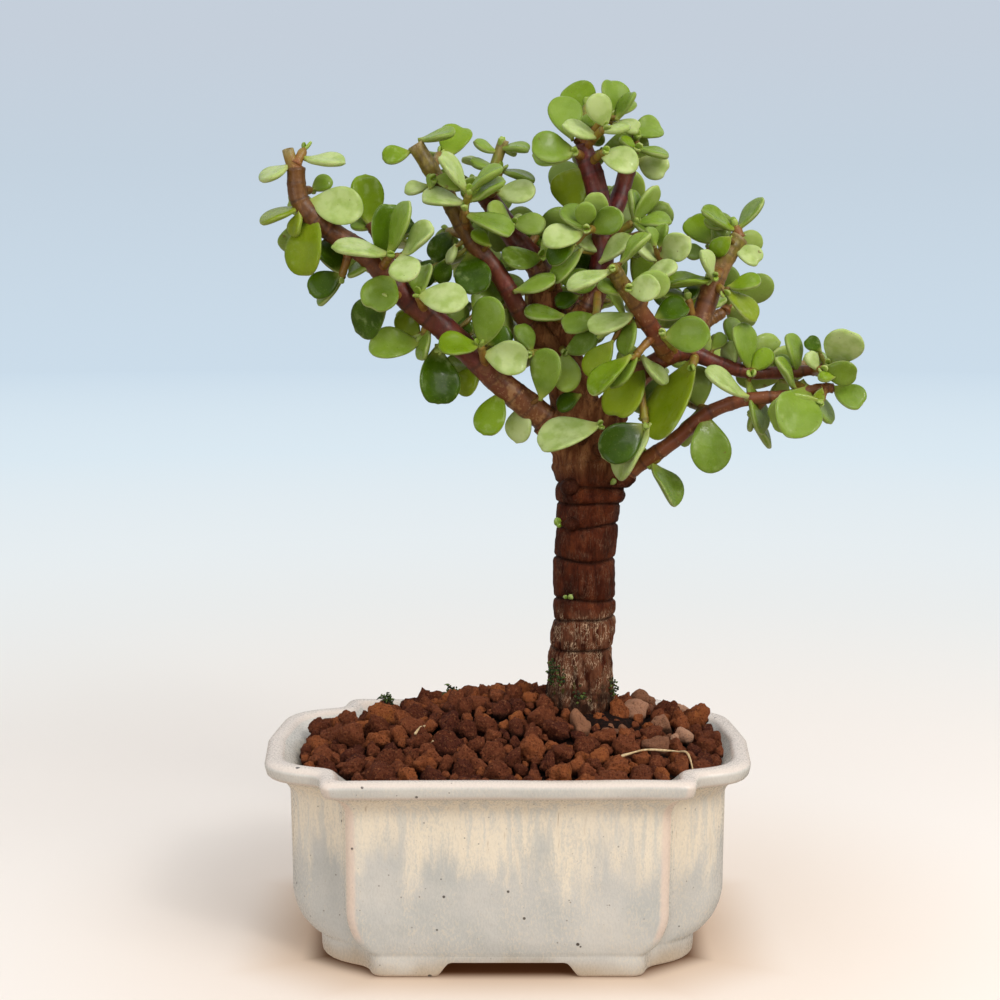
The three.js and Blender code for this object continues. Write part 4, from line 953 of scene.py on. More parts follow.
# How wide a notch and a point are, and how far a blade sways to one side, as shares of the half-width
NOTCH_WIDTH = 0.34
POINT_WIDTH = 0.16
SWAY = 0.07
# How high a blade ripples
RIPPLE = 0.16


def add_blade(bundle, leaf, chance):
    """
    A thick leaf as rings from its root to its tip, each a plump lens across the blade. A point is u along the
    blade, v across it and w through it.
    """
    length, half = leaf["length"], leaf["half"]
    angles = np.arange(LEAF_SIDES) * 2 * math.pi / LEAF_SIDES
    v = np.sign(np.cos(angles)) * np.abs(np.cos(angles)) ** SECTION
    w = np.sign(np.sin(angles)) * np.abs(np.sin(angles)) ** SECTION
    u = STATIONS[:, None]
    share = np.array([max(half_width(s), 0.03) for s in STATIONS])[:, None]
    thick = np.maximum(share**0.55, ROOT_SWELL * (u < 0.3))
    thick = np.where(u > 0.97, share**0.8, thick) * leaf.get("plump", 1)
    x = v * share * half
    y = u * length + 0 * x
    notch = chance.choice(NOTCHES) * length
    point = chance.choice(POINTS) * length
    y = y - notch * np.exp(-((x / (NOTCH_WIDTH * half)) ** 2)) * smooth(0.74, 1, u)
    y = y + point * np.exp(-((x / (POINT_WIDTH * half)) ** 2)) * smooth(0.93, 1, u)
    on_blade = np.clip(u, 0, 1)
    x = x + chance.uniform(-SWAY, SWAY) * half * np.sin(math.pi * on_blade)
    lift = leaf["bend"] * length * u * u + leaf["cup"] * half * (v * share) ** 2
    lift = lift + chance.choice(FOLDS) * np.abs(x) * smooth(0.1, 0.5, u)
    phase = chance.uniform(0, 6)
    lift = lift + RIPPLE * np.sin(4.4 * u + phase) * v * smooth(0.2, 0.6, u)
    height = lift + np.where(w > 0, UPPER_SWELL, LOWER_SWELL) * w * thick
    points = leaf["base"] + y[..., None] * leaf["along"] + x[..., None] * leaf["across"]
    points = points + height[..., None] * leaf["face"]
    edge = np.minimum((1 - np.abs(v)) * share * half, (1 - on_blade) * length * 0.7)
    faces = closed_faces(len(STATIONS), LEAF_SIDES)
    bundle.add(
        points.reshape(-1, 3), faces, edge=np.minimum(edge, 4).ravel(), under=((1 - w) / 2 + 0 * u).ravel(),
        along=(on_blade + 0 * v).ravel(), **{key: leaf[key] for key in LOOKS},
    )


# The two leaves of a bud: how far they open, in degrees, their length, half-width and plumpness, and how far
# they start inside the shoot
BUD_OPENING = (14, 34)
BUD_LENGTH = (2.2, 3.6)
BUD_HALF_WIDTH = (0.7, 1.1)
BUD_PLUMP = 0.45
BUD_SEAT = 0.4


def add_bud(bundle, shoot, chance):
    """The two smallest leaves, still closed, at the very end of a shoot."""
    axis = unit(shoot["to"] - shoot["from"])
    for half in (0, 1):
        turn = math.radians(shoot["turn"]) + math.pi / 2 + math.pi * half + chance.uniform(-0.2, 0.2)
        opening = math.radians(chance.uniform(*BUD_OPENING))
        length, half_wide = chance.uniform(*BUD_LENGTH), chance.uniform(*BUD_HALF_WIDTH)
        root = shoot["to"] - axis * BUD_SEAT
        leaf = make_leaf(root, axis, turn, opening, twist=0, length=length, half=half_wide, bend=0.1, cup=0.2)
        leaf.update(tone=chance.random(), young=0.6, silver=0.2, olive=0, plump=BUD_PLUMP)
        add_blade(bundle, leaf, chance)


# Stems. How far and over what length a ring swells them, and the crease beside it
RING_SWELL = 0.22
RING_LENGTH = 0.9
CREASE_DEPTH = 0.2
CREASE_LENGTH = 0.28
CREASE_PLACE = 0.15


def ring_profile(distance, rings):
    """Swelling (mm) and crease (0 to 1) along a stem with rings at the given places."""
    swell = np.zeros_like(distance)
    crease = np.zeros_like(distance)
    for place in rings:
        swell += RING_SWELL * np.exp(-(((distance - place) / RING_LENGTH) ** 2))
        crease += np.exp(-(((distance - place - CREASE_PLACE) / CREASE_LENGTH) ** 2))
    return swell - CREASE_DEPTH * crease, np.minimum(crease, 1)


# How far each limb's bark runs to red, and to olive towards its tip
LIMB_HUES = {
    "left": (1, 0.3), "left_back": (0.8, 0.2), "upper_left": (1, 0.8), "leader": (1, 0.1),
    "top": (1, 0), "top_right": (1, 0), "right": (0.85, 0.05), "front": (0.6, 0.85), "right_up": (0.1, 1),
    "low_right": (0.5, 0.1), "back_left": (0.5, 0.2), "back_right": (0.4, 0.3), "back_top": (0.7, 0.1),
}
# Limbs that end in a flat cut
CUT_LIMBS = ("right_up", "upper_left")
# A limb that leaves the trunk starts this far inside its collar
LIMB_SEAT = 3
# How far from its start a limb's first ring is, how far apart its rings are, least and most, and how far
# apart its rows of points
FIRST_RING = 4
RING_GAP = (3.2, 6.4)
LIMB_STEP = 0.6
# How uneven a limb is, as a share of its radius, and the radii at which its bark is young and old
LIMB_WOBBLE = 0.07
YOUNG_TO_OLD = (1.1, 3.3)


def add_limb(bundle, name, limb, seed):
    """A ringed limb, from inside its collar or its parent limb to its tip."""
    chance = random.Random(seed)
    line = limb["line"]
    length = curve_length(line)
    start = limb["collar"] - LIMB_SEAT / length if "collar" in limb else 0
    count = int(length * (1 - start) / LIMB_STEP) + 2
    shares = np.linspace(start, 1, count)
    centres = np.array([curve_point(line, t) for t in shares])
    distance = shares * length
    rings = []
    place = distance[0] + FIRST_RING
    while place < length - 1:
        rings.append(place)
        place += chance.uniform(*RING_GAP)
    swell, crease = ring_profile(distance, rings)
    radii = mix(*limb["radii"], shares)
    age = 0.36 + 0.64 * smooth(*YOUNG_TO_OLD, radii)
    sides = 18
    angles = np.arange(sides) * 2 * math.pi / sides
    wobble = np.array([
        [noise.noise(Vector((math.cos(a) * 1.3, math.sin(a) * 1.3, d / 5 + seed))) for a in angles]
        for d in distance
    ])
    cut = name in CUT_LIMBS
    tip = np.ones(count) if cut else np.sqrt(np.clip((length - distance) / 1.2, 0.05, 1))
    surface = ((radii + swell) * tip)[:, None] * (1 + LIMB_WOBBLE * wobble)
    red, olive = LIMB_HUES[name]
    add_tube(
        bundle, centres, surface, sides, age=age, crease=crease, tone=chance.random(),
        red=red * smooth(0.12, 0.4, shares), olive=olive * smooth(0.35, 0.9, shares),
        stub=smooth(length - 1.6, length - 0.6, distance) if cut else 0,
    )


# A cut shoot is thicker by STUB_EXTRA, and every shoot widens by SHOOT_FLARE where it leaves its limb
SHOOT_STEP = 0.55
STUB_EXTRA = 0.5
SHOOT_FLARE = 0.7
# Shoots bow to one side by this much at most, and have a ring between pairs that are farther apart than this
MOST_BOW = 0.35
LONG_JOINT = 5


def add_shoot(bundle, shoot, seed):
    """A short shoot, ringed where its pairs of leaves grow, or a cut stub."""
    chance = random.Random(SHOOT_SEED + seed)
    start, end, pairs = shoot["from"], shoot["to"], shoot["pairs"]
    length = float(np.linalg.norm(end - start))
    axis = (end - start) / length
    stub = not pairs
    distance = np.linspace(0, length + (0 if stub else 0.5), max(int(length / SHOOT_STEP), 6))
    rings = [length * (level + 1) / pairs for level in range(pairs)]
    middle = [r - length / pairs / 2 for r in rings if length / pairs > LONG_JOINT]
    swell, crease = ring_profile(distance, [r - 0.7 for r in rings] + middle)
    side = unit(np.cross(axis, BACK if abs(axis[1]) < 0.9 else UP))
    bow = chance.uniform(-MOST_BOW, MOST_BOW) * np.sin(math.pi * distance / length)
    centres = start + distance[:, None] * axis + bow[:, None] * side
    radii = SHOOT_RADIUS + (STUB_EXTRA if stub else 0) + swell + SHOOT_FLARE * np.exp(-distance / 1.6)
    if not stub:
        radii = radii * np.sqrt(np.clip((length + 0.7 - distance) / 1.2, 0.1, 1))
    add_tube(
        bundle, centres, radii, 12, age=0.1 + 0.32 * np.exp(-distance / 5), crease=crease,
        tone=chance.random(), red=chance.uniform(0, 0.7) * np.exp(-distance / 7), olive=0,
        stub=smooth(length * 0.5, length, distance) if stub else 0,
    )


# A front leaf whose root stands farther than this off its stem gets a thin twig of this radius
LEAST_STALK = 0.3
STALK_RADIUS = 0.62


def add_leaf_stalk(bundle, leaf, chance):
    """The thin twig that carries a leaf whose root stands off the stem."""
    foot, base = leaf["foot"], leaf["base"]
    share = np.linspace(0, 1, 9)
    sag = unit(np.array([chance.uniform(-1, 1), chance.uniform(-1, 1), -0.6])) * leaf["gap"] * 0.12
    centres = foot + share[:, None] * (base + leaf["along"] * 0.5 - foot)
    centres = centres + np.sin(math.pi * share)[:, None] * sag
    radii = STALK_RADIUS + 0.5 * np.exp(-share * 6) + 0.12 * np.cos(share * 11)
    tone, red = chance.random(), chance.uniform(0.2, 0.8)
    add_tube(bundle, centres, radii, 10, age=0.15, tone=tone, red=red, olive=0.2)


def list_shoots():
    """The rows of SHOOTS as shoots, each from its place on its limb to its tip."""
    shoots = []
    for index, (limb, at, tip, pairs, turn, size, opening) in enumerate(SHOOTS):
        line = TRUNK_LINE if limb == "trunk" else LIMBS[limb]["line"]
        shoots.append({
            "index": index, "limb": limb, "from": curve_point(line, at), "to": np.array(tip, float),
            "pairs": pairs, "turn": turn, "size": size, "opening": opening,
        })
    return shoots


def add_foliage(leaf_material, stem_material):
    """The leaves and the stems of the trunk and of each branch, as two pieces each."""
    shoots = list_shoots()
    leaves = grow_leaves(shoots)
    leafy = {leaf["shoot"] for leaf in leaves}
    shoots = [shoot for shoot in shoots if shoot["index"] in leafy or not shoot["pairs"]]
    chance = random.Random(BLADE_SEED)
    for node in ["trunk"] + sorted({limb["node"] for limb in LIMBS.values()}):
        blades = Bundle("edge", "under", "along", *LOOKS)
        stems = Bundle("age", "crease", "tone", "red", "olive", "stub")
        names = [name for name, limb in LIMBS.items() if limb["node"] == node]
        for number, name in enumerate(names):
            add_limb(stems, name, LIMBS[name], number + len(node))
        names = names or ["trunk"]
        for shoot in shoots:
            if shoot["limb"] in names:
                add_shoot(stems, shoot, shoot["index"])
                if shoot["pairs"]:
                    add_bud(blades, shoot, chance)
        for leaf in leaves:
            if leaf["limb"] in names:
                add_blade(blades, leaf, chance)
                if leaf["gap"] > LEAST_STALK:
                    add_leaf_stalk(stems, leaf, chance)
        blades.piece("leaves_" + node.replace("branch_", ""), leaf_material, "leaf", (node,))
        stems.piece("stems_" + node.replace("branch_", ""), stem_material, "bark", (node,))


# Trunk. Heights at which its bark rings end, its radii by height, and how high it goes below its leader
RING_TOPS = (76.9, 84.7, 90, 101.3, 110.3, 116.1, 121.2)
GIRTH = [
    (TRUNK_FOOT, 8.8), (62, 8.8), (66, 8.5), (75, 8.3), (89, 8.1), (109, 8.0), (114.5, 8.3), (118, 8.7),
    (122, 8.6), (126, 9.2), (132, 10.6),
]
GIRTH_TOP = 129
# The leader starts inside the trunk, at this share of the trunk's line, and is no thicker than this
LEADER_START = 0.46
LEADER_MOST = 9.1
# How thick the collar of bark round a limb is at the trunk, and for one limb a thinner one
COLLAR = 1.2
THIN_COLLARS = {"low_right": 0.5}
# Knobs on the bark: the middle and the radius of each
KNOBS = ((16.4, -1.2, 121.4, 2.0), (16.8, -1.0, 111.2, 1.8), (24.6, -2.6, 131.5, 1.9), (19.5, -2.9, 134, 1.5))
KNOB_SQUASH = 0.85
# The bark's finest detail, and how often it is smoothed before its rings and fibres are pressed in
BARK_VOXEL = 0.38
BARK_ROUNDS = 7
# A groove between two rings, and the dip towards it from both sides
GROOVE_DEPTH = 0.55
GROOVE_WIDTH = 0.36
DIP_DEPTH = 0.5
DIP_LENGTH = 1.3
# The bulge under the fork
BULGE_HEIGHT = 118.2
BULGE_LENGTH = 1.9


def trunk_centre(z):
    """The middle of the trunk, x and y, at some heights."""
    x, y, heights = zip(*TRUNK_LINE)
    return np.stack([np.interp(z, heights, x), np.interp(z, heights, y)], axis=-1)


def add_ball(bundle, centre, radius, squash):
    sides, rows = 12, 8
    k = np.arange(sides) * 2 * math.pi / sides
    rings = []
    for a in [math.pi * i / rows for i in range(1, rows)]:
        spokes = [np.cos(k) * math.sin(a), np.sin(k) * math.sin(a), np.full(sides, -math.cos(a))]
        rings.append(np.stack(spokes, axis=1) * [radius, radius, radius * squash] + centre)
    bundle.add(np.concatenate(rings), closed_faces(rows - 1, sides))


def remeshed(bundle, voxel, rounds):
    """One skin round all the overlapping solids of a bundle."""
    mesh = bpy.data.meshes.new("rough")
    mesh.from_pydata((np.concatenate(bundle.points) / 1000).tolist(), [], bundle.faces)
    rough = bpy.data.objects.new("rough", mesh)
    bpy.context.scene.collection.objects.link(rough)
    remesh = rough.modifiers.new("skin", "REMESH")
    remesh.mode = "VOXEL"
    remesh.voxel_size = voxel / 1000
    relax = rough.modifiers.new("relax", "SMOOTH")
    relax.factor = 0.5
    relax.iterations = rounds
    done = bpy.data.meshes.new_from_object(rough.evaluated_get(bpy.context.evaluated_depsgraph_get()))
    bpy.data.objects.remove(rough)
    return done


def vertex_vectors(mesh, key):
    """The places, co, or the normals of a mesh's vertices."""
    values = np.empty(len(mesh.vertices) * 3)
    mesh.vertices.foreach_get(key, values)
    return values.reshape(-1, 3)


def set_value(mesh, key, values):
    mesh.attributes.new(key, "FLOAT", "POINT").data.foreach_set("value", np.asarray(values, np.float32))


def trunk_solids():
    """The trunk, its leader, the collars round its limbs and its knobs, one inside another."""
    bundle = Bundle()
    heights = np.arange(TRUNK_FOOT, GIRTH_TOP, 1.5)
    centres = np.concatenate([trunk_centre(heights), heights[:, None]], axis=1)
    add_tube(bundle, centres, np.interp(heights, *zip(*GIRTH)), 32)
    shares = np.linspace(LEADER_START, 1, 24)
    radii = [min(trunk_radius(t), LEADER_MOST) for t in shares]
    add_tube(bundle, [curve_point(TRUNK_LINE, t) for t in shares], radii, 32)
    for name, limb in LIMBS.items():
        if "collar" in limb:
            shares = np.linspace(0, limb["collar"], 12)
            collar = THIN_COLLARS.get(name, COLLAR) * (1 - 0.3 * shares / limb["collar"])
            radii = mix(*limb["radii"], shares) + collar
            add_tube(bundle, [curve_point(limb["line"], t) for t in shares], radii, 24)
    for *centre, radius in KNOBS:
        add_ball(bundle, centre, radius, KNOB_SQUASH)
    return bundle


def knob_share(points):
    """How far each point belongs to a knob, from 0 to 1."""
    knob = np.zeros(len(points))
    for *centre, radius in KNOBS:
        gap = np.linalg.norm(points - centre, axis=1) - radius
        knob = np.maximum(knob, smooth(1.0, 0.3, gap))
    return knob


def bark_rings(z, angle, knob):
    """How far the rings press the bark in or out, and how far each point lies in a groove, from 0 to 1."""
    shift = np.zeros(len(z))
    groove = np.zeros(len(z))
    for number, top in enumerate(RING_TOPS):
        gap = z - (top + 0.5 * np.sin(angle + number * 1.9) + 0.22 * np.sin(3 * angle + number))
        cut = np.exp(-((gap / GROOVE_WIDTH) ** 2))
        groove = np.maximum(groove, cut * (1 - knob))
        shift -= (GROOVE_DEPTH * cut + DIP_DEPTH * np.exp(-np.abs(gap) / DIP_LENGTH)) * (1 - knob)
    bulge = np.exp(-(((z - BULGE_HEIGHT) / BULGE_LENGTH) ** 2)) * (0.55 + 0.5 * np.cos(angle + 0.5))
    return shift + (0.5 + bulge), groove


def bark_fibre(points):
    """Noise in upright streaks, coarse and fine."""
    return np.array([
        abs(noise.noise(Vector((x, y, z / 6 + 3)))) + 0.5 * abs(noise.noise(Vector((2 * x, 2 * y, z / 3))))
        for x, y, z in points
    ])


def add_trunk(material):
    """The trunk's bark as one skin, with rings, fibres and lumps pressed into it."""
    mesh = remeshed(trunk_solids(), BARK_VOXEL, BARK_ROUNDS)
    points = vertex_vectors(mesh, "co") * 1000
    normals = vertex_vectors(mesh, "normal")
    z = points[:, 2]
    away = points[:, :2] - trunk_centre(z)
    angle = np.arctan2(away[:, 1], away[:, 0])
    knob = knob_share(points)
    shift, groove = bark_rings(z, angle, knob)
    fibre = bark_fibre(points)
    lumps = roughness_noise(points, 5.5, 3)
    fine = roughness_noise(points, 1.6, 5)
    # Rings only below the fork, worn bark at the foot, paler bark at the fork as painted light against the
    # crown's shade, and a flare where the soil begins
    below = 1 - smooth(128, 133, z)
    wear_and_painted_light = 1 - smooth(84, 90, z) + 0.4 * smooth(122, 128, z) * (1 - smooth(145, 160, z))
    flare = smooth(67, 60, z)
    shift = shift * below + 0.45 * lumps + (0.2 + 0.34 * wear_and_painted_light) * (0.28 - fibre) + 0.16 * fine
    shift += flare * (0.7 * np.maximum(np.sin(3 * angle + 1), 0) + 0.35 * lumps)
    points = points + normals * shift[:, None]
    mesh.vertices.foreach_set("co", (points / 1000 + CENTRE).ravel())
    values = {
        "groove": groove * below, "wear_and_painted_light": np.clip(wear_and_painted_light, 0, 1), "fibre": fibre, "height": z, "knob": knob,
    }
    for key, value in values.items():
        set_value(mesh, key, value)
    add_piece("trunk_bark", mesh, material, ("trunk",))


# Soil. Granules in the order in which they are laid, the big ones first: least and largest radius, tries, and
# how close together their middles may be as a share of their radii
GRANULE_SIZES = (
    (3.2, 4.3, 260, 0.92), (2.3, 3.4, 2400, 0.86), (1.7, 2.4, 4200, 0.82), (1.1, 1.7, 6000, 0.78),
)
# Granules larger than the first sink in less. Those larger than the second get a finer ball, unless they lie
# farther back than this
SINKING_RADIUS = 2.2
DETAIL_RADIUS = 2.6
DETAIL_BACK = 16
# Just before the trunk is a patch with crumbs up to this radius and nothing larger: its middle and half-sizes
PATCH = (27, -3.5)
PATCH_SIZE = (9.5, 4.2)
CRUMB_RADIUS = 1.3
# Some granules on the right of the trunk are pale stones: the place that they lie round, how near and how
# far, how far left and how far forward at most, and how many of the granules there are stones
STONE_PLACE = (22, 3)
STONE_RING = (9, 34)
STONE_LEFT = 19
STONE_FRONT = -15
STONE_SHARE = 0.3
# Granules are tried up to this far from the middle, to both sides, and to the front and the back
FIELD = (60, 40)
# They keep this far from the trunk's middle, and their wall lies this far inside the rim. Their middles may
# be this close to both, as a share of their radius, and on the left less close to the wall
TRUNK_ROOM = 8.4
WALL_INSET = 7.4
CLOSENESS = 0.72
LEFT_CLOSENESS = 0.95
# The bed lies this far under the mound, inside the rim, and off the pot's wall and floor. It bulges up under
# the patch
BED_DEPTH = 1.4
BED_INSET = 8.9
BED_GAP = 0.6
BED_BULGE = 2.9
BULGE_MIDDLE = (26, -1)
BULGE_SIZE = (9, 7)


def soil_height(x, y):
    """Height of the mound at a place."""
    dx = (x - MOUND_CENTRE[0]) / MOUND_SPREAD[0]
    dy = (y - MOUND_CENTRE[1]) / MOUND_SPREAD[1]
    return SOIL_EDGE + MOUND_HEIGHT * np.exp(-dx * dx - dy * dy)


def edge_distance(outline, x, y):
    """Distance from the outline, positive inside it."""
    a = outline
    b = np.roll(outline, -1, axis=0)
    point = np.array([x, y])
    span = b - a
    t = np.clip(((point - a) * span).sum(axis=1) / (span * span).sum(axis=1), 0, 1)
    gap = np.linalg.norm(a + t[:, None] * span - point, axis=1).min()
    level = (a[:, 1] > y) != (b[:, 1] > y)
    crosses = level & (x < span[:, 0] * (y - a[:, 1]) / (span[:, 1] + 1e-12) + a[:, 0])
    return gap if crosses.sum() % 2 else -gap


def scatter_granules():
    """Centre and radius of each granule: the big ones first, then ever smaller ones between them."""
    chance = random.Random(GRANULE_PLACE_SEED)
    wall = outline_points(rim_level(SOIL_EDGE, WALL_INSET), 3)[:, :2] + [0.9, 0]
    trunk_x, trunk_y = TRUNK_LINE[0][:2]
    placed = np.empty((0, 4))
    for low, high, tries, closeness in GRANULE_SIZES:
        for _ in range(tries):
            x, y = (chance.uniform(-reach, reach) for reach in FIELD)
            radius = chance.uniform(low, high)
            in_patch = math.hypot((x - PATCH[0]) / PATCH_SIZE[0], (y - PATCH[1]) / PATCH_SIZE[1]) < 1
            gaps = np.hypot(placed[:, 0] - x, placed[:, 1] - y)
            if (
                math.hypot(x - trunk_x, y - trunk_y) < TRUNK_ROOM + radius * CLOSENESS
                or in_patch and radius > CRUMB_RADIUS
                or np.any(gaps < (placed[:, 3] + radius) * closeness)
                or edge_distance(wall, x, y) < radius * (LEFT_CLOSENESS if x < 0 else CLOSENESS)
            ):
                continue
            sink = chance.uniform(-0.1, 0.5) if radius > SINKING_RADIUS else chance.uniform(0.1, 0.9)
            z = float(soil_height(x, y)) + 1.2 - radius * sink
            placed = np.vstack([placed, [x, y, z, radius]])
    return placed


def unit_ball(steps):
    """Points and faces of a ball of radius 1."""
    shape = bmesh.new()
    bmesh.ops.create_icosphere(shape, subdivisions=steps, radius=1)
    points = np.array([tuple(v.co) for v in shape.verts])
    faces = [tuple(v.index for v in face.verts) for face in shape.faces]
    shape.free()
    return points, faces


# How many flats a granule has, how far out they lie as a share of its radius, and how sharp their edges are
FLATS = (6, 11)
FLAT_PLACES = (0.52, 0.84)
FLAT_SHARPNESS = 20


def granule(ball_points, radius, chance, smoothness):
    """A lump of fired clay: a ball with a few worn flats and a rough, pitted skin."""
    reach = np.ones(len(ball_points))
    for _ in range(chance.randint(*FLATS)):
        facing = unit(np.array([chance.gauss(0, 1) for _ in range(3)]))
        flat = chance.uniform(*FLAT_PLACES)
        toward = ball_points @ facing
        limit = np.where(toward > 0.2, flat / np.maximum(toward, 0.2), 9)
        reach = -np.log(np.exp(-FLAT_SHARPNESS * reach) + np.exp(-FLAT_SHARPNESS * limit)) / FLAT_SHARPNESS
    seed = chance.uniform(0, 90)
    bumps = roughness_noise(ball_points, 0.8, seed)
    knobs = np.abs(roughness_noise(ball_points, 0.42, seed))
    grains = roughness_noise(ball_points, 0.2, seed)
    rough = 1 - 0.7 * smoothness
    crumbs = roughness_noise(ball_points, 0.11, seed + 3)
    reach = reach * (1 + 0.28 * bumps - (0.32 * (knobs - 0.2) - 0.15 * grains - 0.07 * crumbs) * rough)
    points = ball_points * reach[:, None] * [1.15, chance.uniform(0.8, 1.05), chance.uniform(0.68, 0.98)]
    spin = Euler([chance.uniform(0, 6.28) for _ in range(3)]).to_matrix()
    return points @ np.array(spin).T * radius * 1.14


def add_soil(material, bed_material):
    """The granules as four pieces from front to back, and the bed under them."""
    granules = scatter_granules()
    bundles = [Bundle("tone", "stone", "hollow") for _ in range(4)]
    chance = random.Random(GRANULE_SHAPE_SEED)
    balls = {True: unit_ball(4), False: unit_ball(3)}
    near, far = STONE_RING
    order = np.argsort(granules[:, 1])
    for place, number in enumerate(order):
        x, y, z, radius = granules[number]
        shape, faces = balls[radius > DETAIL_RADIUS and y < DETAIL_BACK]
        in_ring = near < math.hypot(x - STONE_PLACE[0], y - STONE_PLACE[1]) < far
        may_be_stone = in_ring and x > STONE_LEFT and y > STONE_FRONT
        stone = chance.uniform(0.6, 1) if may_be_stone and chance.random() < STONE_SHARE else 0
        lump = granule(shape, radius, chance, 1 if stone else 0)
        # How low each point sits on its granule, for the painted shade there
        hollow = np.clip((lump[:, 2] / radius + 0.5) / 1.1, 0, 1)
        bundle = bundles[place * len(bundles) // len(granules)]
        bundle.add(lump + [x, y, z], faces, tone=chance.random(), stone=stone, hollow=hollow)
    for number, bundle in enumerate(bundles):
        bundle.piece(f"granules_{number + 1}", material, "soil", ("soil",))
    add_bed(bed_material)
    return granules


def add_bed(material):
    """Fine dark soil under the granules, closed below so that it fills the pot."""
    rings = []
    wall = outline_points(rim_level(SOIL_EDGE - BED_DEPTH, BED_INSET), 2)
    for size in np.linspace(0.04, 1, 26):
        ring = wall * [size, size, 1]
        ring[:, 2] = soil_height(ring[:, 0], ring[:, 1]) - BED_DEPTH
        from_bulge = np.hypot(*((ring[:, :2] - BULGE_MIDDLE) / BULGE_SIZE).T)
        ring[:, 2] += BED_BULGE * smooth(1.4, 0.6, from_bulge)
        ring[:, 2] += 0.5 * roughness_noise(ring, 2.6, 8)
        rings.append(ring)
    wall_gap = WALL_THICKNESS + BED_GAP
    for level in (
        rim_level(POT_HEIGHT - 12, 11.2), shrink(rim_level(FLOOR_TOP + 8, BODY_INSET), wall_gap),
        shrink(lower_level(FLOOR_TOP + BED_GAP, FLOOR_SHARE), wall_gap),
    ):
        rings.append(outline_points(level, 2))
    bundle = Bundle()
    faces = closed_faces(len(rings), len(wall))
    bundle.add(np.concatenate(rings), [face[::-1] for face in faces])
    bundle.piece("soil_bed", material, "soil", ("soil",))


# Pot. A level of its wall is a height and six measures of a quarter of its outline. The straight front, at
# width, stops at side. There the wall steps in to notch, runs out to the corner at lobe and shoulder, and
# rounds the end. These are the measures at the rim, taken off its half-length or half-width
FRONT_STOP = 18.5
NOTCH_DEPTH = 10.5
LOBE_DEPTH = 2.5
SHOULDER_DEPTH = 15
NOTCH_SLANT = 1.4
# How far the front's end moves for each millimetre that the wall moves in
FRONT_SHIFT = 0.9
# How far the outline is rounded at side, at notch, and at lobe
OUTLINE_BENDS = (3, 3.2, 9)
# The level at the bottom of the foot ring
FOOT_LEVEL = np.array([0, 34.5, 38.2, 32, 48.5, 25.5, 50.5])
# How much of the foot's shape the floor has, and how thick the wall is above it
FLOOR_SHARE = 0.45
WALL_THICKNESS = 5
# The arches of the foot ring: where they begin and are full, and how far out from the middle a long and a
# short side are
LONG_ARCH = (18.4, 14.6)
SHORT_ARCH = (12.2, 8.6)
LONG_SIDE_FROM = 22
SHORT_SIDE_FROM = 34
# How far apart the levels of the wall are at most
LEVEL_STEP = 3.2
# The walls run in and out a little, as a share of their distance from the middle: how far, between which
# heights this begins and ends, and over what length it changes
WALL_SWAY = 0.006
WALL_SWAY_FROM = (8, 20)
WALL_SWAY_TO = (49, 51.5)
WALL_SWAY_LENGTH = 34
# The same for the top edge, which runs up and down
EDGE_SWAY = 0.35
EDGE_SWAY_FROM = (40, 52)
EDGE_SWAY_LENGTH = 26
# The glaze is thin along three edges: how wide at the lip's top edge, which lies a little under the rim's
# height, at its lower edge and at the foot
TOP_EDGE_DEPTH = 0.4
TOP_EDGE_WIDTH = 0.8
LOWER_EDGE_WIDTH = 0.7
FOOT_EDGE_WIDTH = 0.9
# The ends are round and without ridges over this length
ROUND_END = 17
# How far in from the rim's widest place the face of the lip reaches, and its top
LIP_FACE = 2.5
LIP_TOP = 5
# Edges sharper than this many degrees stay sharp
SHARP_ANGLE = 35


def rim_level(z, inset):
    """A level with the rim's outline, moved in."""
    return np.array([
        z, RIM_HALF_LENGTH - FRONT_STOP - inset * FRONT_SHIFT, RIM_HALF_WIDTH - inset,
        RIM_HALF_WIDTH - NOTCH_DEPTH - inset, RIM_HALF_LENGTH - LOBE_DEPTH - inset,
        RIM_HALF_WIDTH - SHOULDER_DEPTH - inset, RIM_HALF_LENGTH - inset,
    ])


def lower_level(z, share):
    """A level between the body, 0, and the narrower foot ring, 1."""
    level = mix(rim_level(z, BODY_INSET), FOOT_LEVEL, share)
    level[0] = z
    return level


def shrink(level, inset):
    return level - np.array([0, FRONT_SHIFT, 1, 1, 1, 1, 1]) * inset


def rounded_corner(before, corner, after, radius, steps):
    back = unit(before - corner)
    on = unit(after - corner)
    return [corner + radius * (back * (1 - t) ** 2 + on * t**2) for t in np.linspace(0, 1, steps + 1)]


def outline_points(level, steps):
    """The pot's outline at a level, all the way round, with the same number of points at any level."""
    z, side, width, notch, lobe, shoulder, end = level
    corners = [(0, width), (side, width), (side + NOTCH_SLANT, notch), (lobe, shoulder), (end, 0)]
    corners = [np.array(corner, float) for corner in corners]
    bends = [rounded_corner(*corners[i:i + 3], radius, steps) for i, radius in enumerate(OUTLINE_BENDS)]
    runs = [corners[0]], *bends, [corners[-1]]
    divisions = (7 * steps, 2, 2 * steps, 2 * steps)
    quarter = []
    for run, following, parts in zip(runs[:-1], runs[1:], divisions):
        quarter += run[:-1]
        quarter += [run[-1] + (following[0] - run[-1]) * i / parts for i in range(parts)]
    quarter.append(runs[-1][0])
    quarter = np.array(quarter)
    right = np.concatenate([quarter, (quarter * [1, -1])[-2::-1]])
    around = np.concatenate([right[:-1], -right[:-1]])[::-1]
    return np.column_stack([around, np.full(len(around), z)])


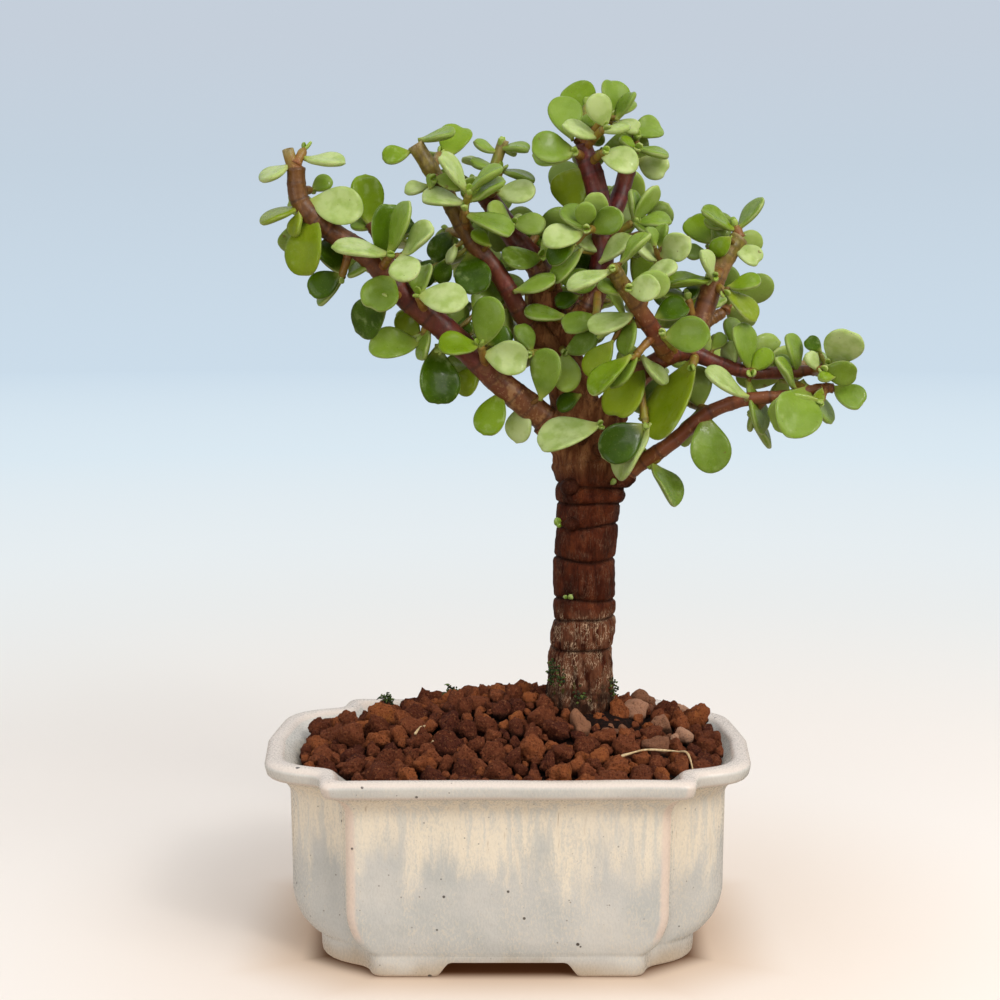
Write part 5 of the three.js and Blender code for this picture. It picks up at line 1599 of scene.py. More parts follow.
def rounded_levels(levels, radii, steps=4):
    """The same run of levels, with the corner at each one rounded off."""
    result = [levels[0]]
    for before, corner, after, radius in zip(levels[:-2], levels[1:-1], levels[2:], radii[1:-1]):
        reach_back = np.linalg.norm((before - corner)[[0, 2]])
        reach_on = np.linalg.norm((after - corner)[[0, 2]])
        radius = min(radius, 0.48 * reach_back, 0.48 * reach_on)
        back = (before - corner) * radius / reach_back
        on = (after - corner) * radius / reach_on
        result += [corner + back * (1 - t) ** 2 + on * t**2 for t in np.linspace(0, 1, steps + 1)]
    return result + [levels[-1]]


def finely_stepped(levels, step):
    """The same run of levels, with others between those that are farther apart than a step."""
    result = [levels[0]]
    for a, b in zip(levels[:-1], levels[1:]):
        parts = max(1, int(np.linalg.norm((b - a)[[0, 2]]) / step))
        result += [a + (b - a) * (i + 1) / parts for i in range(parts)]
    return result


def pot_levels():
    """The pot's wall from its underside round the foot, up over the rim and down to its floor."""
    floor = lower_level(FLOOR_TOP, FLOOR_SHARE)
    underside = lower_level(FLOOR_UNDERSIDE, 1)
    foot = lower_level(0, 1)
    # Each corner and how far it is rounded
    corners = [
        (shrink(underside, 9), 0),
        (shrink(underside, 8), 1),
        (shrink(foot, 7), 1),
        (foot, 1.1),
        (lower_level(FLOOR_UNDERSIDE, 0.97), 0.8),
        (lower_level(FLOOR_UNDERSIDE + 1, 0.72), 0.6),
        (lower_level(FLOOR_UNDERSIDE + 3.5, 0.36), 3),
        (lower_level(FLOOR_UNDERSIDE + 9, 0), 6),
        (rim_level(POT_HEIGHT - 9, BODY_INSET - 0.3), 5),
        (rim_level(POT_HEIGHT - 5.6, BODY_INSET - 2.8), 1.6),
        (rim_level(POT_HEIGHT - LIP_HEIGHT, 0.3), 0.9),
        (rim_level(POT_HEIGHT - 1, 0), 1.1),
        (rim_level(POT_HEIGHT, 1.2), 1.1),
        (rim_level(POT_HEIGHT, 3.9), 1.4),
        (rim_level(POT_HEIGHT - 1.6, 5.2), 1.6),
        (rim_level(POT_HEIGHT - 7, BODY_INSET + 3.6), 3),
        (shrink(rim_level(FLOOR_TOP + 8, BODY_INSET), WALL_THICKNESS), 4),
        (shrink(floor, WALL_THICKNESS), 3),
        (shrink(floor, WALL_THICKNESS + 3), 0),
    ]
    levels, bends = zip(*corners)
    return finely_stepped(rounded_levels(levels, bends), LEVEL_STEP)


def raise_arches(points):
    """Lifts the foot ring's lower edge into an arch in the middle of each side."""
    x, y, z = np.abs(points).T
    long_side = ARCH_HEIGHT * smooth(*LONG_ARCH, x) * (y > LONG_SIDE_FROM)
    short_side = ARCH_HEIGHT * smooth(*SHORT_ARCH, y) * (x > SHORT_SIDE_FROM)
    raised = np.maximum(long_side, short_side)
    lifted = raised + z * (FLOOR_UNDERSIDE - raised) / FLOOR_UNDERSIDE
    points[:, 2] = np.where(z < FLOOR_UNDERSIDE, lifted, z)


def make_uneven(points):
    """Hand-made: the walls are not quite true, and the top edge runs a little up and down."""
    sway = roughness_noise(points, WALL_SWAY_LENGTH, 2)
    sway_up = roughness_noise(points, EDGE_SWAY_LENGTH, 4)
    wall = smooth(*WALL_SWAY_FROM, points[:, 2]) * (1 - smooth(*WALL_SWAY_TO, points[:, 2]))
    points[:, :2] *= (1 - WALL_SWAY * wall * (1 + sway))[:, None]
    points[:, 2] -= EDGE_SWAY * smooth(*EDGE_SWAY_FROM, points[:, 2]) * (1 + sway_up)


def add_pot(material):
    """The pot's wall and floor as rings of points, one for each level."""
    steps = 5
    levels = pot_levels()
    rings = [outline_points(level, steps) for level in levels]
    count = len(rings[0])
    points = np.concatenate(rings)
    raise_arches(points)
    make_uneven(points)
    ridge, edge = ridge_values(levels, count, steps)
    bundle = Bundle("ridge", "edge")
    bundle.add(points, closed_faces(len(rings), count), ridge=ridge, edge=edge)
    bore_drains(bundle.piece("pot_body", material, "glaze", ("pot",)))


def hump(distance, width):
    """1 at no distance, falling off evenly to both sides."""
    return math.exp(-((distance / width) ** 2))


def ridge_values(levels, count, steps):
    """How sharply the wall turns out at each point: along the upright ridges, and over lip and foot."""
    body = outline_points(rim_level(0, BODY_INSET), steps)[:, :2]
    back = body - np.roll(body, 1, axis=0)
    on = np.roll(body, -1, axis=0) - body
    turn = back[:, 0] * on[:, 1] - back[:, 1] * on[:, 0]
    turn = turn / (np.linalg.norm(back, axis=1) * np.linalg.norm(on, axis=1))
    bend = np.degrees(np.arcsin(np.clip(turn, -1, 1)))
    convex = np.clip(bend / bend.max(), 0, 1) ** 1.5 * (np.abs(body[:, 0]) < RIM_HALF_LENGTH - ROUND_END)
    edges = []
    for level in levels:
        z, inset = level[0], RIM_HALF_WIDTH - level[2]
        upper = hump(z - POT_HEIGHT + TOP_EDGE_DEPTH, TOP_EDGE_WIDTH) if inset < LIP_TOP else 0
        lower = hump(z - POT_HEIGHT + LIP_HEIGHT, LOWER_EDGE_WIDTH) if inset < LIP_FACE else 0
        edges.append(hump(z, FOOT_EDGE_WIDTH) if z < FLOOR_UNDERSIDE else max(upper, lower))
    return np.tile(convex, len(levels)), np.repeat(edges, count)


def bore_drains(pot):
    """Cuts the drain holes through the floor."""
    for sign in (-1, 1):
        bore = Bundle()
        path = [(sign * DRAIN_OFFSET, 0, z) for z in (-2, 8, FLOOR_TOP + 2)]
        add_tube(bore, path, [DRAIN_RADIUS] * len(path), 32)
        mesh = bpy.data.meshes.new("bore")
        mesh.from_pydata((np.concatenate(bore.points) / 1000 + CENTRE).tolist(), [], bore.faces)
        cutter = bpy.data.objects.new("bore", mesh)
        bpy.context.scene.collection.objects.link(cutter)
        cut = pot.modifiers.new("bore", "BOOLEAN")
        cut.operation = "DIFFERENCE"
        cut.solver = "EXACT"
        cut.object = cutter
        bored = bpy.data.meshes.new_from_object(pot.evaluated_get(bpy.context.evaluated_depsgraph_get()))
        pot.modifiers.remove(cut)
        pot.data = bored
        bpy.data.objects.remove(cutter)
    pot.data.set_sharp_from_angle(angle=math.radians(SHARP_ANGLE))


# Small things on the soil. Loose roots, as routes over the granules
ROOTS = (
    ((28.6, -26), (31.1, -24.2), (35.7, -21.5), (41.1, -19.2), (44.3, -20.5), (46.6, -23.5), (48.1, -26.5)),
    ((-24.5, -12.5), (-23.3, -10.2), (-22.6, -7.2), (-22.1, -5.2)),
    ((-20.4, -15.8), (-18.4, -12.8), (-16.3, -11.8), (-15.3, -11.2)),
)
ROOT_RADIUS = 0.34
# Moss at the trunk's foot: place, number of leaves, their length and how far they spread
MOSS = (
    ((12.6, 1.6, 71.5), 60, 0.85, 1.3), ((12.7, 2.6, 67.6), 40, 0.8, 1.1), ((14.8, -0.2, 69), 40, 0.75, 1.1),
    ((19.6, -1.9, 64.6), 46, 1.0, 1.0), ((28.1, 3.2, 66.4), 40, 0.8, 1.1), ((28.4, 4.4, 63.5), 20, 0.8, 0.8),
    ((29.0, 10.5, 64), 30, 0.8, 1.2), ((16.5, 15.2, 66), 34, 0.9, 1.2), ((22.5, 15.4, 64), 20, 0.8, 0.9),
)
MOSS_LEAF_WIDTH = 0.32
# Where seedlings stand on the soil
SEEDLINGS = ((-34.8, 25), (-31.5, 25.5), (-13.7, 25), (-16, 25.6))
SEEDLING_LEAF_WIDTH = 0.28
# Small buds on the trunk: place, direction and length
TRUNK_BUDS = (
    ((14.0, 0.6, 110.4), (-0.35, -0.5, 0.8), 2.9), ((14.4, 0.2, 110.6), (-0.6, -0.75, 0.2), 1.7),
    ((16.6, -1.0, 91.2), (0.3, -0.8, 0.4), 1.9), ((16.2, -0.9, 91.3), (-0.7, -0.6, 0.3), 1.5),
    ((27.8, 0.5, 121.8), (0.4, -0.7, 0.6), 2.4),
)


def bed_top(granules, x, y):
    """Height of the granules under a point."""
    gap = np.hypot(granules[:, 0] - x, granules[:, 1] - y)
    reach = granules[:, 3] * 0.95
    over = gap < reach
    if not over.any():
        return float(soil_height(x, y))
    return float((granules[over, 2] + np.sqrt(reach[over] ** 2 - gap[over] ** 2)).max())


def add_roots(granules, material):
    """Dry roots that lie loose on the granules, with both ends in between them."""
    bundle = Bundle("tone")
    chance = random.Random(ROOT_SEED)
    for path in ROOTS:
        heights = [bed_top(granules, x, y) for x, y in path]
        line = [(x, y, mix(z, max(heights), 0.75) + 0.35) for (x, y), z in zip(path, heights)]
        line[0] = (*path[0], heights[0] - 0.4)
        line[-1] = (*path[-1], heights[-1] - 0.4)
        shares = np.linspace(0, 1, 40)
        centres = np.array([curve_point(line, t) for t in shares])
        radii = ROOT_RADIUS + 0.06 * np.sin(shares * 17) - 0.14 * shares
        add_tube(bundle, centres, radii, 8, tone=chance.random())
    bundle.piece("loose_roots", material, "bark", ("soil",))


def add_tuft(bundle, foot, count, length, spread, chance, width=MOSS_LEAF_WIDTH):
    """Small pointed leaves in every direction from one place."""
    foot = np.array(foot, float)
    for _ in range(count):
        along, across = chance.uniform(-1.4, 1.4) * spread, chance.uniform(-0.8, 0.8) * spread
        start = foot + [along, across, chance.gauss(0, spread)]
        facing = unit(np.array([chance.gauss(0, 1), chance.gauss(-0.6, 0.7), chance.gauss(0.7, 0.7)]))
        reach = length * chance.uniform(0.6, 1.2)
        shares = np.linspace(0, 1, 5)
        sag = np.array([0, 0, -0.3]) * (shares[:, None] ** 2) * reach
        radii = width * np.array([0.5, 1, 0.9, 0.55, 0.12])
        add_tube(bundle, start + facing * reach * shares[:, None] + sag, radii, 5, tone=chance.random())


def add_seedling(bundle, foot, chance):
    """Three thin stalks from one place, each with a tuft of leaves."""
    x, y, z = foot
    for _ in range(3):
        top = foot + [chance.uniform(-2.4, 2.4), chance.uniform(-1, 1), chance.uniform(2.2, 4.4)]
        line = [(x, y, z - 0.6), mix(foot, top, 0.5) + [0.3, 0, 0.2], top]
        centres = [curve_point(line, t) for t in np.linspace(0, 1, 9)]
        add_tube(bundle, centres, np.linspace(0.3, 0.16, 9), 5, tone=0.1)
        add_tuft(bundle, top, 7, 1.5, 0.4, chance, width=SEEDLING_LEAF_WIDTH)


def add_moss(granules, moss_material, leaf_material):
    """Moss and seedlings as one piece, and the buds on the trunk as another."""
    chance = random.Random(MOSS_SEED)
    moss = Bundle("tone")
    for foot, count, length, spread in MOSS:
        add_tuft(moss, foot, count, length, spread, chance)
    for x, y in SEEDLINGS:
        add_seedling(moss, np.array([x, y, bed_top(granules, x, y)]), chance)
    moss.piece("moss", moss_material, "leaf", ("soil",))
    buds = Bundle("edge", "under", "along", *LOOKS)
    for base, out, length in TRUNK_BUDS:
        leaf = make_leaf(
            np.array(base), unit(np.array(out)), turn=0.4, opening=0.2, twist=0,
            length=length, half=length * 0.38, bend=0.1, cup=0.2,
        )
        leaf.update(tone=0.4, young=0.1, silver=0.2, olive=0, plump=0.6)
        add_blade(buds, leaf, chance)
    buds.piece("trunk_buds", leaf_material, "leaf", ("trunk",))


# Materials
def rgb(code):
    """Linear colour from a hex code."""
    parts = [int(code[i:i + 2], 16) / 255 for i in (0, 2, 4)]
    return tuple(p / 12.92 if p <= 0.04045 else ((p + 0.055) / 1.055) ** 2.4 for p in parts) + (1.0,)


def set_stops(ramp, stops):
    """Gives a colour ramp its stops, each a place from 0 to 1 and a hex code."""
    elements = ramp.elements
    while len(elements) < len(stops):
        elements.new(0.5)
    for element, (place, code) in zip(elements, stops):
        element.position = place
        element.color = rgb(code)


class Finish:
    """
    A node material whose colour is laid on in layers. Sizes are in millimetres, and a value is a number, a
    hex code or another node's output. Most methods add nodes and give back an output.
    """

    def __init__(self, name, constants):
        self.material = bpy.data.materials.new(name)
        self.material.use_nodes = True
        self.tree = self.material.node_tree
        self.shader = self.tree.nodes["Principled BSDF"]
        for key, value in constants.items():
            self.shader.inputs[key].default_value = value
        self.place = self.node("ShaderNodeTexCoord").outputs["Object"]

    def put(self, socket, value):
        if isinstance(value, bpy.types.NodeSocket):
            self.tree.links.new(value, socket)
        elif isinstance(value, str):
            socket.default_value = rgb(value)
        else:
            socket.default_value = value

    def node(self, kind, inputs=None, **settings):
        made = self.tree.nodes.new(kind)
        for key, value in settings.items():
            setattr(made, key, value)
        for key, value in (inputs or {}).items():
            self.put(made.inputs[key], value)
        return made

    def value(self, key):
        return self.node("ShaderNodeAttribute", attribute_name=key).outputs["Fac"]

    def spot(self, size, stretch=(1, 1, 1)):
        scale = tuple(1000 / size / s for s in stretch)
        return self.node("ShaderNodeVectorMath", {0: self.place, 1: scale}, operation="MULTIPLY").outputs[0]

    def noise(self, size, detail=3, rough=0.5, stretch=(1, 1, 1), twist=0):
        """Soft noise from 0 to 1 with features of a size, stretched along the axes."""
        inputs = {
            "Vector": self.spot(size, stretch), "Scale": 1.0, "Detail": detail, "Roughness": rough,
            "Distortion": twist,
        }
        return self.node("ShaderNodeTexNoise", inputs).outputs["Fac"]

    def cells(self, size):
        """Distance from the middles of scattered cells, as a share of their size."""
        inputs = {"Vector": self.spot(size), "Scale": 1.0}
        return self.node("ShaderNodeTexVoronoi", inputs, feature="F1").outputs["Distance"]

    def fit(self, value, low, high, to_low=0.0, to_high=1.0):
        """Eased step from one value to another, as a value goes from low to high."""
        inputs = {"Value": value, "From Min": low, "From Max": high, "To Min": to_low, "To Max": to_high}
        return self.node("ShaderNodeMapRange", inputs, interpolation_type="SMOOTHSTEP").outputs["Result"]

    def math(self, kind, a, b=0.0):
        return self.node("ShaderNodeMath", {0: a, 1: b}, operation=kind).outputs[0]

    def times(self, a, b):
        return self.math("MULTIPLY", a, b)

    def plus(self, a, b):
        return self.math("ADD", a, b)

    def blend(self, share, a, b):
        return self.node("ShaderNodeMix", {0: share, 6: a, 7: b}, data_type="RGBA").outputs[2]

    def ramp(self, value, stops):
        made = self.node("ShaderNodeValToRGB", {"Fac": value})
        set_stops(made.color_ramp, stops)
        return made.outputs["Color"]

    def paint(self, colour, where, strength=None):
        """Lays a colour over the colour so far, as far as a value says."""
        share = where if strength is None else self.times(where, strength)
        self.colour = self.blend(share, self.colour, colour)

    def bump(self, height, depth, below=None):
        inputs = {"Height": height, "Distance": depth / 1000, "Strength": 1.0}
        if below is not None:
            inputs["Normal"] = below
        return self.node("ShaderNodeBump", inputs).outputs["Normal"]

    def height(self):
        """Height above the ground in millimetres."""
        split = self.node("ShaderNodeSeparateXYZ", {0: self.place})
        return self.times(split.outputs["Z"], 1000.0)

    def done(self, roughness, normal):
        self.put(self.shader.inputs["Base Color"], self.colour)
        self.put(self.shader.inputs["Roughness"], roughness)
        self.put(self.shader.inputs["Normal"], normal)
        return self.material


def leaf_finish():
    """Fleshy green leaves."""
    skin = Finish("leaf_skin", {
        "Subsurface Weight": 0.15, "Subsurface Scale": 0.0014, "Subsurface Radius": (0.6, 1.0, 0.12),
        "Coat Weight": 0.14, "Coat Roughness": 0.08, "Specular IOR Level": 0.1,
    })
    patch = skin.noise(2.2, 3)
    shade = skin.plus(skin.times(skin.value("tone"), 0.65), skin.times(skin.noise(7, 2), 0.5))
    old = skin.ramp(shade, [(0.18, "314805"), (0.45, "52710c"), (0.7, "6c8c1a"), (1, "84a030")])
    fresh = skin.ramp(shade, [(0.2, "7a9414"), (0.6, "8fa724"), (0.95, "a8b946")])
    silver = skin.ramp(shade, [(0.2, "93a95c"), (0.6, "a9bb70"), (0.95, "c3d092")])
    olive = skin.ramp(shade, [(0.2, "5e6d0c"), (0.6, "748610"), (0.95, "93a02c")])
    skin.colour = skin.blend(skin.value("young"), old, fresh)
    skin.paint(silver, skin.value("silver"), skin.fit(skin.noise(3.6, 3), 0.34, 0.6, 0.5, 1.0))
    skin.paint(olive, skin.value("olive"))
    # A paler underside and root, and patches of bloom
    skin.paint("9cae5c", skin.fit(skin.value("under"), 0.5, 0.9), 0.38)
    skin.paint("a5a94c", skin.fit(skin.value("along"), 0.26, 0.0), 0.5)
    bloom = skin.times(skin.fit(patch, 0.5, 0.75), skin.fit(skin.noise(19, 2), 0.42, 0.6))
    skin.paint("a9ba78", bloom, 0.4)
    # Fine pale dots, brown freckles here and there, a worn rim and a few dry scars
    skin.paint("bccb84", skin.fit(skin.cells(0.62), 0.2, 0.08), 0.18)
    freckles = skin.times(skin.fit(skin.cells(1.9), 0.1, 0.05), skin.fit(skin.noise(8, 2), 0.5, 0.56))
    skin.paint("4e4a1c", freckles, 0.6)
    rim = skin.fit(skin.plus(skin.value("edge"), skin.times(skin.noise(1.6, 2), 0.16)), 0.3, 0.1)
    skin.paint("bcc386", rim, skin.fit(skin.noise(11, 2), 0.4, 0.6, 0.12, 0.5))
    skin.paint("6c5228", skin.fit(skin.noise(3.1, 4, 0.6), 0.70, 0.75), 0.7)
    rough = skin.plus(skin.times(patch, 0.26), skin.times(bloom, 0.15))
    normal = skin.bump(skin.noise(3.4, 2), 0.22)
    normal = skin.bump(skin.noise(0.5, 2), 0.018, normal)
    return skin.done(skin.plus(rough, 0.16), normal)


def stem_finish():
    """Green to woody skin of limbs and shoots."""
    skin = Finish("stem_skin", {"Specular IOR Level": 0.32, "Coat Weight": 0.15, "Coat Roughness": 0.3})
    age, red = skin.value("age"), skin.value("red")
    grain = skin.noise(1.5, 4, 0.6, (1, 1, 2.5))
    shift = skin.plus(age, skin.times(skin.plus(skin.value("tone"), -0.5), 0.2))
    shift = skin.plus(shift, skin.times(skin.plus(grain, -0.5), 0.35))
    # Green where it is young, brown where it is old, with red bark and olive tips on some limbs
    skin.colour = skin.ramp(shift, [
        (0.02, "8f9a34"), (0.2, "94762c"), (0.38, "8a5426"), (0.6, "854c28"), (0.85, "7d4c28"), (1, "6b3f20"),
    ])
    red_bark = skin.ramp(grain, [(0.3, "40080c"), (0.55, "5c1112"), (0.75, "7e3230")])
    skin.paint(red_bark, red, skin.fit(skin.noise(8, 2), 0.3, 0.6, 0.65, 0.97))
    skin.paint(skin.ramp(grain, [(0.3, "574a12"), (0.55, "776a22"), (0.75, "8f8a3a")]), skin.value("olive"))
    # Peeling patches, pale flecks, painted shade in the creases and the wood of a cut
    peeling = skin.times(skin.fit(skin.noise(3.2, 3, 0.6), 0.5, 0.62), skin.fit(age, 0.6, 0.95))
    skin.paint("a47a4c", skin.times(peeling, skin.fit(red, 0.9, 0.3)), 0.6)
    flecks = skin.fit(skin.noise(0.8, 3, 0.6, (1, 1, 1.6)), 0.58, 0.7)
    skin.paint("bd9468", flecks, skin.fit(red, 0.4, 1, 0.45, 0.12))
    # Painted shade in the creases beside the rings
    skin.paint("230e08", skin.value("crease"), 0.6)
    skin.paint(skin.ramp(grain, [(0.3, "5e451c"), (0.7, "a08f5a")]), skin.value("stub"))
    return skin.done(skin.fit(grain, 0.3, 0.7, 0.36, 0.56), skin.bump(skin.noise(0.7, 4, 0.6), 0.12))


def bark_finish():
    """Dark, stringy bark of the trunk."""
    skin = Finish("bark", {"Specular IOR Level": 0.07})
    wear_and_painted_light, height = skin.value("wear_and_painted_light"), skin.value("height")
    fibre = skin.noise(0.5, 3, 0.6, (1, 1, 6), 1.4)
    wrinkle = skin.noise(0.62, 2, 0.5, (1, 1, 6), 1.3)
    broad = skin.noise(2.2, 3, 0.55, (1, 1, 4), 0.6)
    skin.colour = skin.ramp(skin.plus(skin.times(skin.noise(7, 3), 0.6), skin.times(broad, 0.4)), [
        (0.34, "2a0d05"), (0.46, "3f180a"), (0.56, "50210e"), (0.68, "663015"),
    ])
    # Worn bark is paler, with light threads between its dark fibres. At the fork the same paleness is painted
    # light against the crown's shade
    ridge = skin.math("ABSOLUTE", skin.plus(wrinkle, -0.5))
    threads = skin.times(skin.fit(ridge, 0.035, 0.012), skin.fit(skin.noise(4.5, 2), 0.4, 0.6))
    skin.paint("86583f", skin.fit(wear_and_painted_light, 0, 1, 0.05, 0.5), skin.fit(broad, 0.36, 0.6))
    skin.paint("cfae8c", threads, skin.fit(wear_and_painted_light, 0, 1, 0.1, 0.95))
    skin.paint("1b0b05", skin.fit(fibre, 0.46, 0.34), 0.45)
    # Painted light at the fork, where the crown shades the trunk, then grooves and knobs
    skin.paint(skin.ramp(broad, [(0.4, "6c3f22"), (0.65, "a06e44")]), skin.fit(height, 121, 132), 0.85)
    # Painted shade in the grooves between the bark rings
    skin.paint("160803", skin.value("groove"), 0.8)
    skin.paint("2a120a", skin.value("knob"), 0.55)
    # Damp and green at the foot
    skin.paint("160c07", skin.times(skin.fit(height, 71, 62), skin.fit(skin.noise(3, 3), 0.36, 0.6)), 0.85)
    skin.paint("3c4a18", skin.times(skin.fit(height, 78, 64), skin.fit(skin.noise(2.4, 3), 0.58, 0.7)), 0.6)
    normal = skin.bump(broad, 0.5)
    normal = skin.bump(ridge, 0.6, normal)
    normal = skin.bump(fibre, 0.22, normal)
    return skin.done(skin.fit(fibre, 0.35, 0.65, 0.42, 0.7), normal)


def granule_finish():
    """Fired clay, and pale stone."""
    skin = Finish("granules", {"Specular IOR Level": 0.12, "Diffuse Roughness": 0.6})
    tone, stone = skin.value("tone"), skin.value("stone")
    cloud = skin.noise(2.6, 4, 0.6)
    fine = skin.noise(0.55, 4, 0.65)
    skin.colour = skin.ramp(skin.plus(skin.times(tone, 0.6), skin.times(cloud, 0.45)), [
        (0.12, "44201a"), (0.36, "5f301e"), (0.6, "7b432a"), (0.82, "95532e"), (0.98, "b06c34"),
    ])
    shade = skin.plus(tone, skin.times(cloud, 0.3))
    rock = skin.ramp(shade, [(0.2, "865a44"), (0.6, "aa7a5c"), (1, "c2967a")])
    skin.paint(rock, stone)
    # Light and dark grains, then painted shade in the pits, which stones don't have, and painted shade on the
    # low part of each granule
    skin.paint("b0744a", skin.fit(fine, 0.54, 0.7), 0.5)
    skin.paint("2b1108", skin.fit(fine, 0.46, 0.32), 0.6)
    pits = skin.times(skin.fit(skin.cells(0.95), 0.3, 0.16), skin.plus(1.0, skin.times(stone, -1.0)))
    skin.paint("220d07", pits, 0.5)
    skin.paint("1a0a05", skin.fit(skin.value("hollow"), 0.5, 0.05, 0, 0.8))
    normal = skin.bump(skin.plus(fine, skin.times(pits, -0.25)), 0.9)
    return skin.done(0.94, skin.bump(skin.noise(0.22, 2), 0.1, normal))


def bed_finish():
    skin = Finish("fine_soil", {"Specular IOR Level": 0.15})
    grain = skin.noise(0.8, 4, 0.7)
    skin.colour = skin.ramp(grain, [(0.3, "0c0604"), (0.5, "1a0d08"), (0.72, "3a1d12")])
    return skin.done(0.96, skin.bump(grain, 0.9))


def root_finish():
    skin = Finish("dry_root", {"Specular IOR Level": 0.3})
    grain = skin.noise(0.8, 3, 0.6)
    skin.colour = skin.ramp(grain, [(0.3, "a98a5f"), (0.55, "cfb488"), (0.75, "e2cda4")])
    return skin.done(0.75, skin.bump(grain, 0.1))


def moss_finish():
    skin = Finish("moss", {"Specular IOR Level": 0.3, "Subsurface Weight": 0.1, "Subsurface Scale": 0.0006})
    shade = skin.plus(skin.times(skin.value("tone"), 0.6), skin.times(skin.noise(1.5, 2), 0.5))
    skin.colour = skin.ramp(shade, [(0.15, "12190a"), (0.45, "263310"), (0.7, "3f4f1c"), (0.95, "6c7c36")])
    return skin.done(0.6, skin.bump(skin.noise(0.4, 2), 0.05))


# Iron specks in the glaze, from sparse and large to dense and small: how far apart, where their edge and
# their full colour lie as shares of that, their colour and how strong it is
SPECKS = (
    (9.5, 0.075, 0.06, "2b1e16", 0.95), (5.2, 0.085, 0.06, "33241a", 0.9), (2.6, 0.1, 0.07, "5b4430", 0.6),
    (1.3, 0.12, 0.07, "a58a66", 0.45),
)


def glaze_finish():
    """A runny grey and cream glaze with iron specks."""
    skin = Finish("celadon_glaze", {"Coat Weight": 0.3, "Coat Roughness": 0.16, "Specular IOR Level": 0.4})
    height = skin.height()
    cloud = skin.noise(16, 3)
    run = skin.noise(2.1, 4, 0.6, (1, 1, 9), 0.5)
    wide_run = skin.noise(6.5, 3, 0.55, (1, 1, 4), 0.4)
    crystals = skin.noise(0.5, 3, 0.65, (1, 1, 2))
    skin.colour = skin.ramp(cloud, [(0.35, "c3c0b8"), (0.5, "cdc8bf"), (0.65, "d8d1c6")])
    skin.paint("e6d6bd", skin.times(skin.fit(crystals, 0.5, 0.64), skin.fit(wide_run, 0.36, 0.6)), 0.45)
    # A cream band under the lip that runs down the wall in streaks, with grey and brown ones between them
    reach = skin.plus(height, skin.times(skin.plus(wide_run, -0.5), 50.0))
    top_band = skin.times(skin.fit(reach, 22, 38), skin.fit(height, 50, 47))
    skin.paint("f2e2ca", top_band, 0.5)
    streaks = skin.fit(skin.plus(run, skin.times(crystals, 0.5)), 0.6, 0.86)
    skin.paint("f8e8ce", skin.times(top_band, streaks), 0.75)
    skin.paint("d8d3c7", skin.times(top_band, skin.fit(run, 0.47, 0.36)), 0.5)
    brown = skin.times(top_band, skin.fit(run, 0.62, 0.72))
    skin.paint("a3835c", brown, skin.fit(wide_run, 0.44, 0.6, 0.25, 0.65))
    # The glaze is thin and pinkish on ridges and edges, greyer on the lip, and brownish at the foot
    skin.paint("edd3bf", skin.times(skin.fit(skin.value("ridge"), 0.3, 0.9), skin.fit(height, 8, 12)), 0.8)
    skin.paint("e6cfbf", skin.fit(skin.value("edge"), 0.25, 0.85), 0.8)
    skin.paint("d9d2c8", skin.fit(height, 47, 49), 0.4)
    skin.paint("b99a74", skin.fit(skin.plus(height, skin.times(skin.plus(cloud, -0.5), 8)), 6.5, 0.4), 0.65)
    # Bare clay where the pot faces down
    facing = skin.node("ShaderNodeNewGeometry").outputs["Normal"]
    up = skin.node("ShaderNodeSeparateXYZ", {0: facing}).outputs["Z"]
    bare = skin.times(skin.fit(up, -0.75, -0.95), skin.fit(height, 12, 8))
    skin.paint(skin.ramp(skin.noise(1.2, 4), [(0.3, "a07a58"), (0.7, "c29d76")]), bare, 0.9)
    chosen = skin.fit(skin.noise(9, 2), 0.5, 0.54)
    for spacing, edge, middle, colour, strength in SPECKS:
        skin.paint(colour, skin.times(skin.fit(skin.cells(spacing), edge, middle), chosen), strength)
    rough = skin.plus(skin.fit(crystals, 0.35, 0.7, 0.2, 0.42), skin.times(bare, 0.45))
    return skin.done(rough, skin.bump(crystals, 0.06, skin.bump(skin.noise(9, 2), 0.5)))


def mesh_finish():
    skin = Finish("black_plastic", {"Specular IOR Level": 0.4})
    grain = skin.noise(0.5, 2)
    skin.colour = skin.ramp(grain, [(0.3, "1b1c1b"), (0.7, "2c2d2c")])
    return skin.done(skin.fit(grain, 0.3, 0.7, 0.5, 0.68), skin.bump(grain, 0.05))


# Stage, light and camera, in metres. Colours of the backdrop, from the pot outwards and upwards
BACKDROP = [
    (0.05, "f6f2ed"), (0.125, "ebeff0"), (0.34, "dbe9f2"), (0.74, "ccddeb"), (0.87, "c4d2df"),
    (0.95, "c5cfdb"),
]
# The light that comes from every side, from straight below to straight above
SKY = [(0, "c8b9a8"), (0.47, "a89f96"), (0.53, "a3a6aa"), (0.7, "d2d7dc"), (1, "fdfeff")]
# Lights: size, power, place and colour
LIGHTS = {
    "key": ((0.6, 0.6), 3.5, (0.48, -0.5, 0.6), (1, 0.97, 0.93)),
    "window": ((0.1, 0.18), 1.1, (0.4, -0.55, 0.62), (1, 0.98, 0.95)),
    "fill": ((0.6, 0.4), 1.9, (-0.5, -0.75, 0.18), (0.97, 0.98, 1)),
}
AIM_HEIGHT = 0.11
# The floor is flat up to a radius, with rings of points on the way there, and bends up into a wall
FLOOR_RINGS = (0.02, 0.3, 1, 2)
FLOOR_RADIUS = 3
WALL_BEND = 0.8
WALL_HEIGHT = 2.6


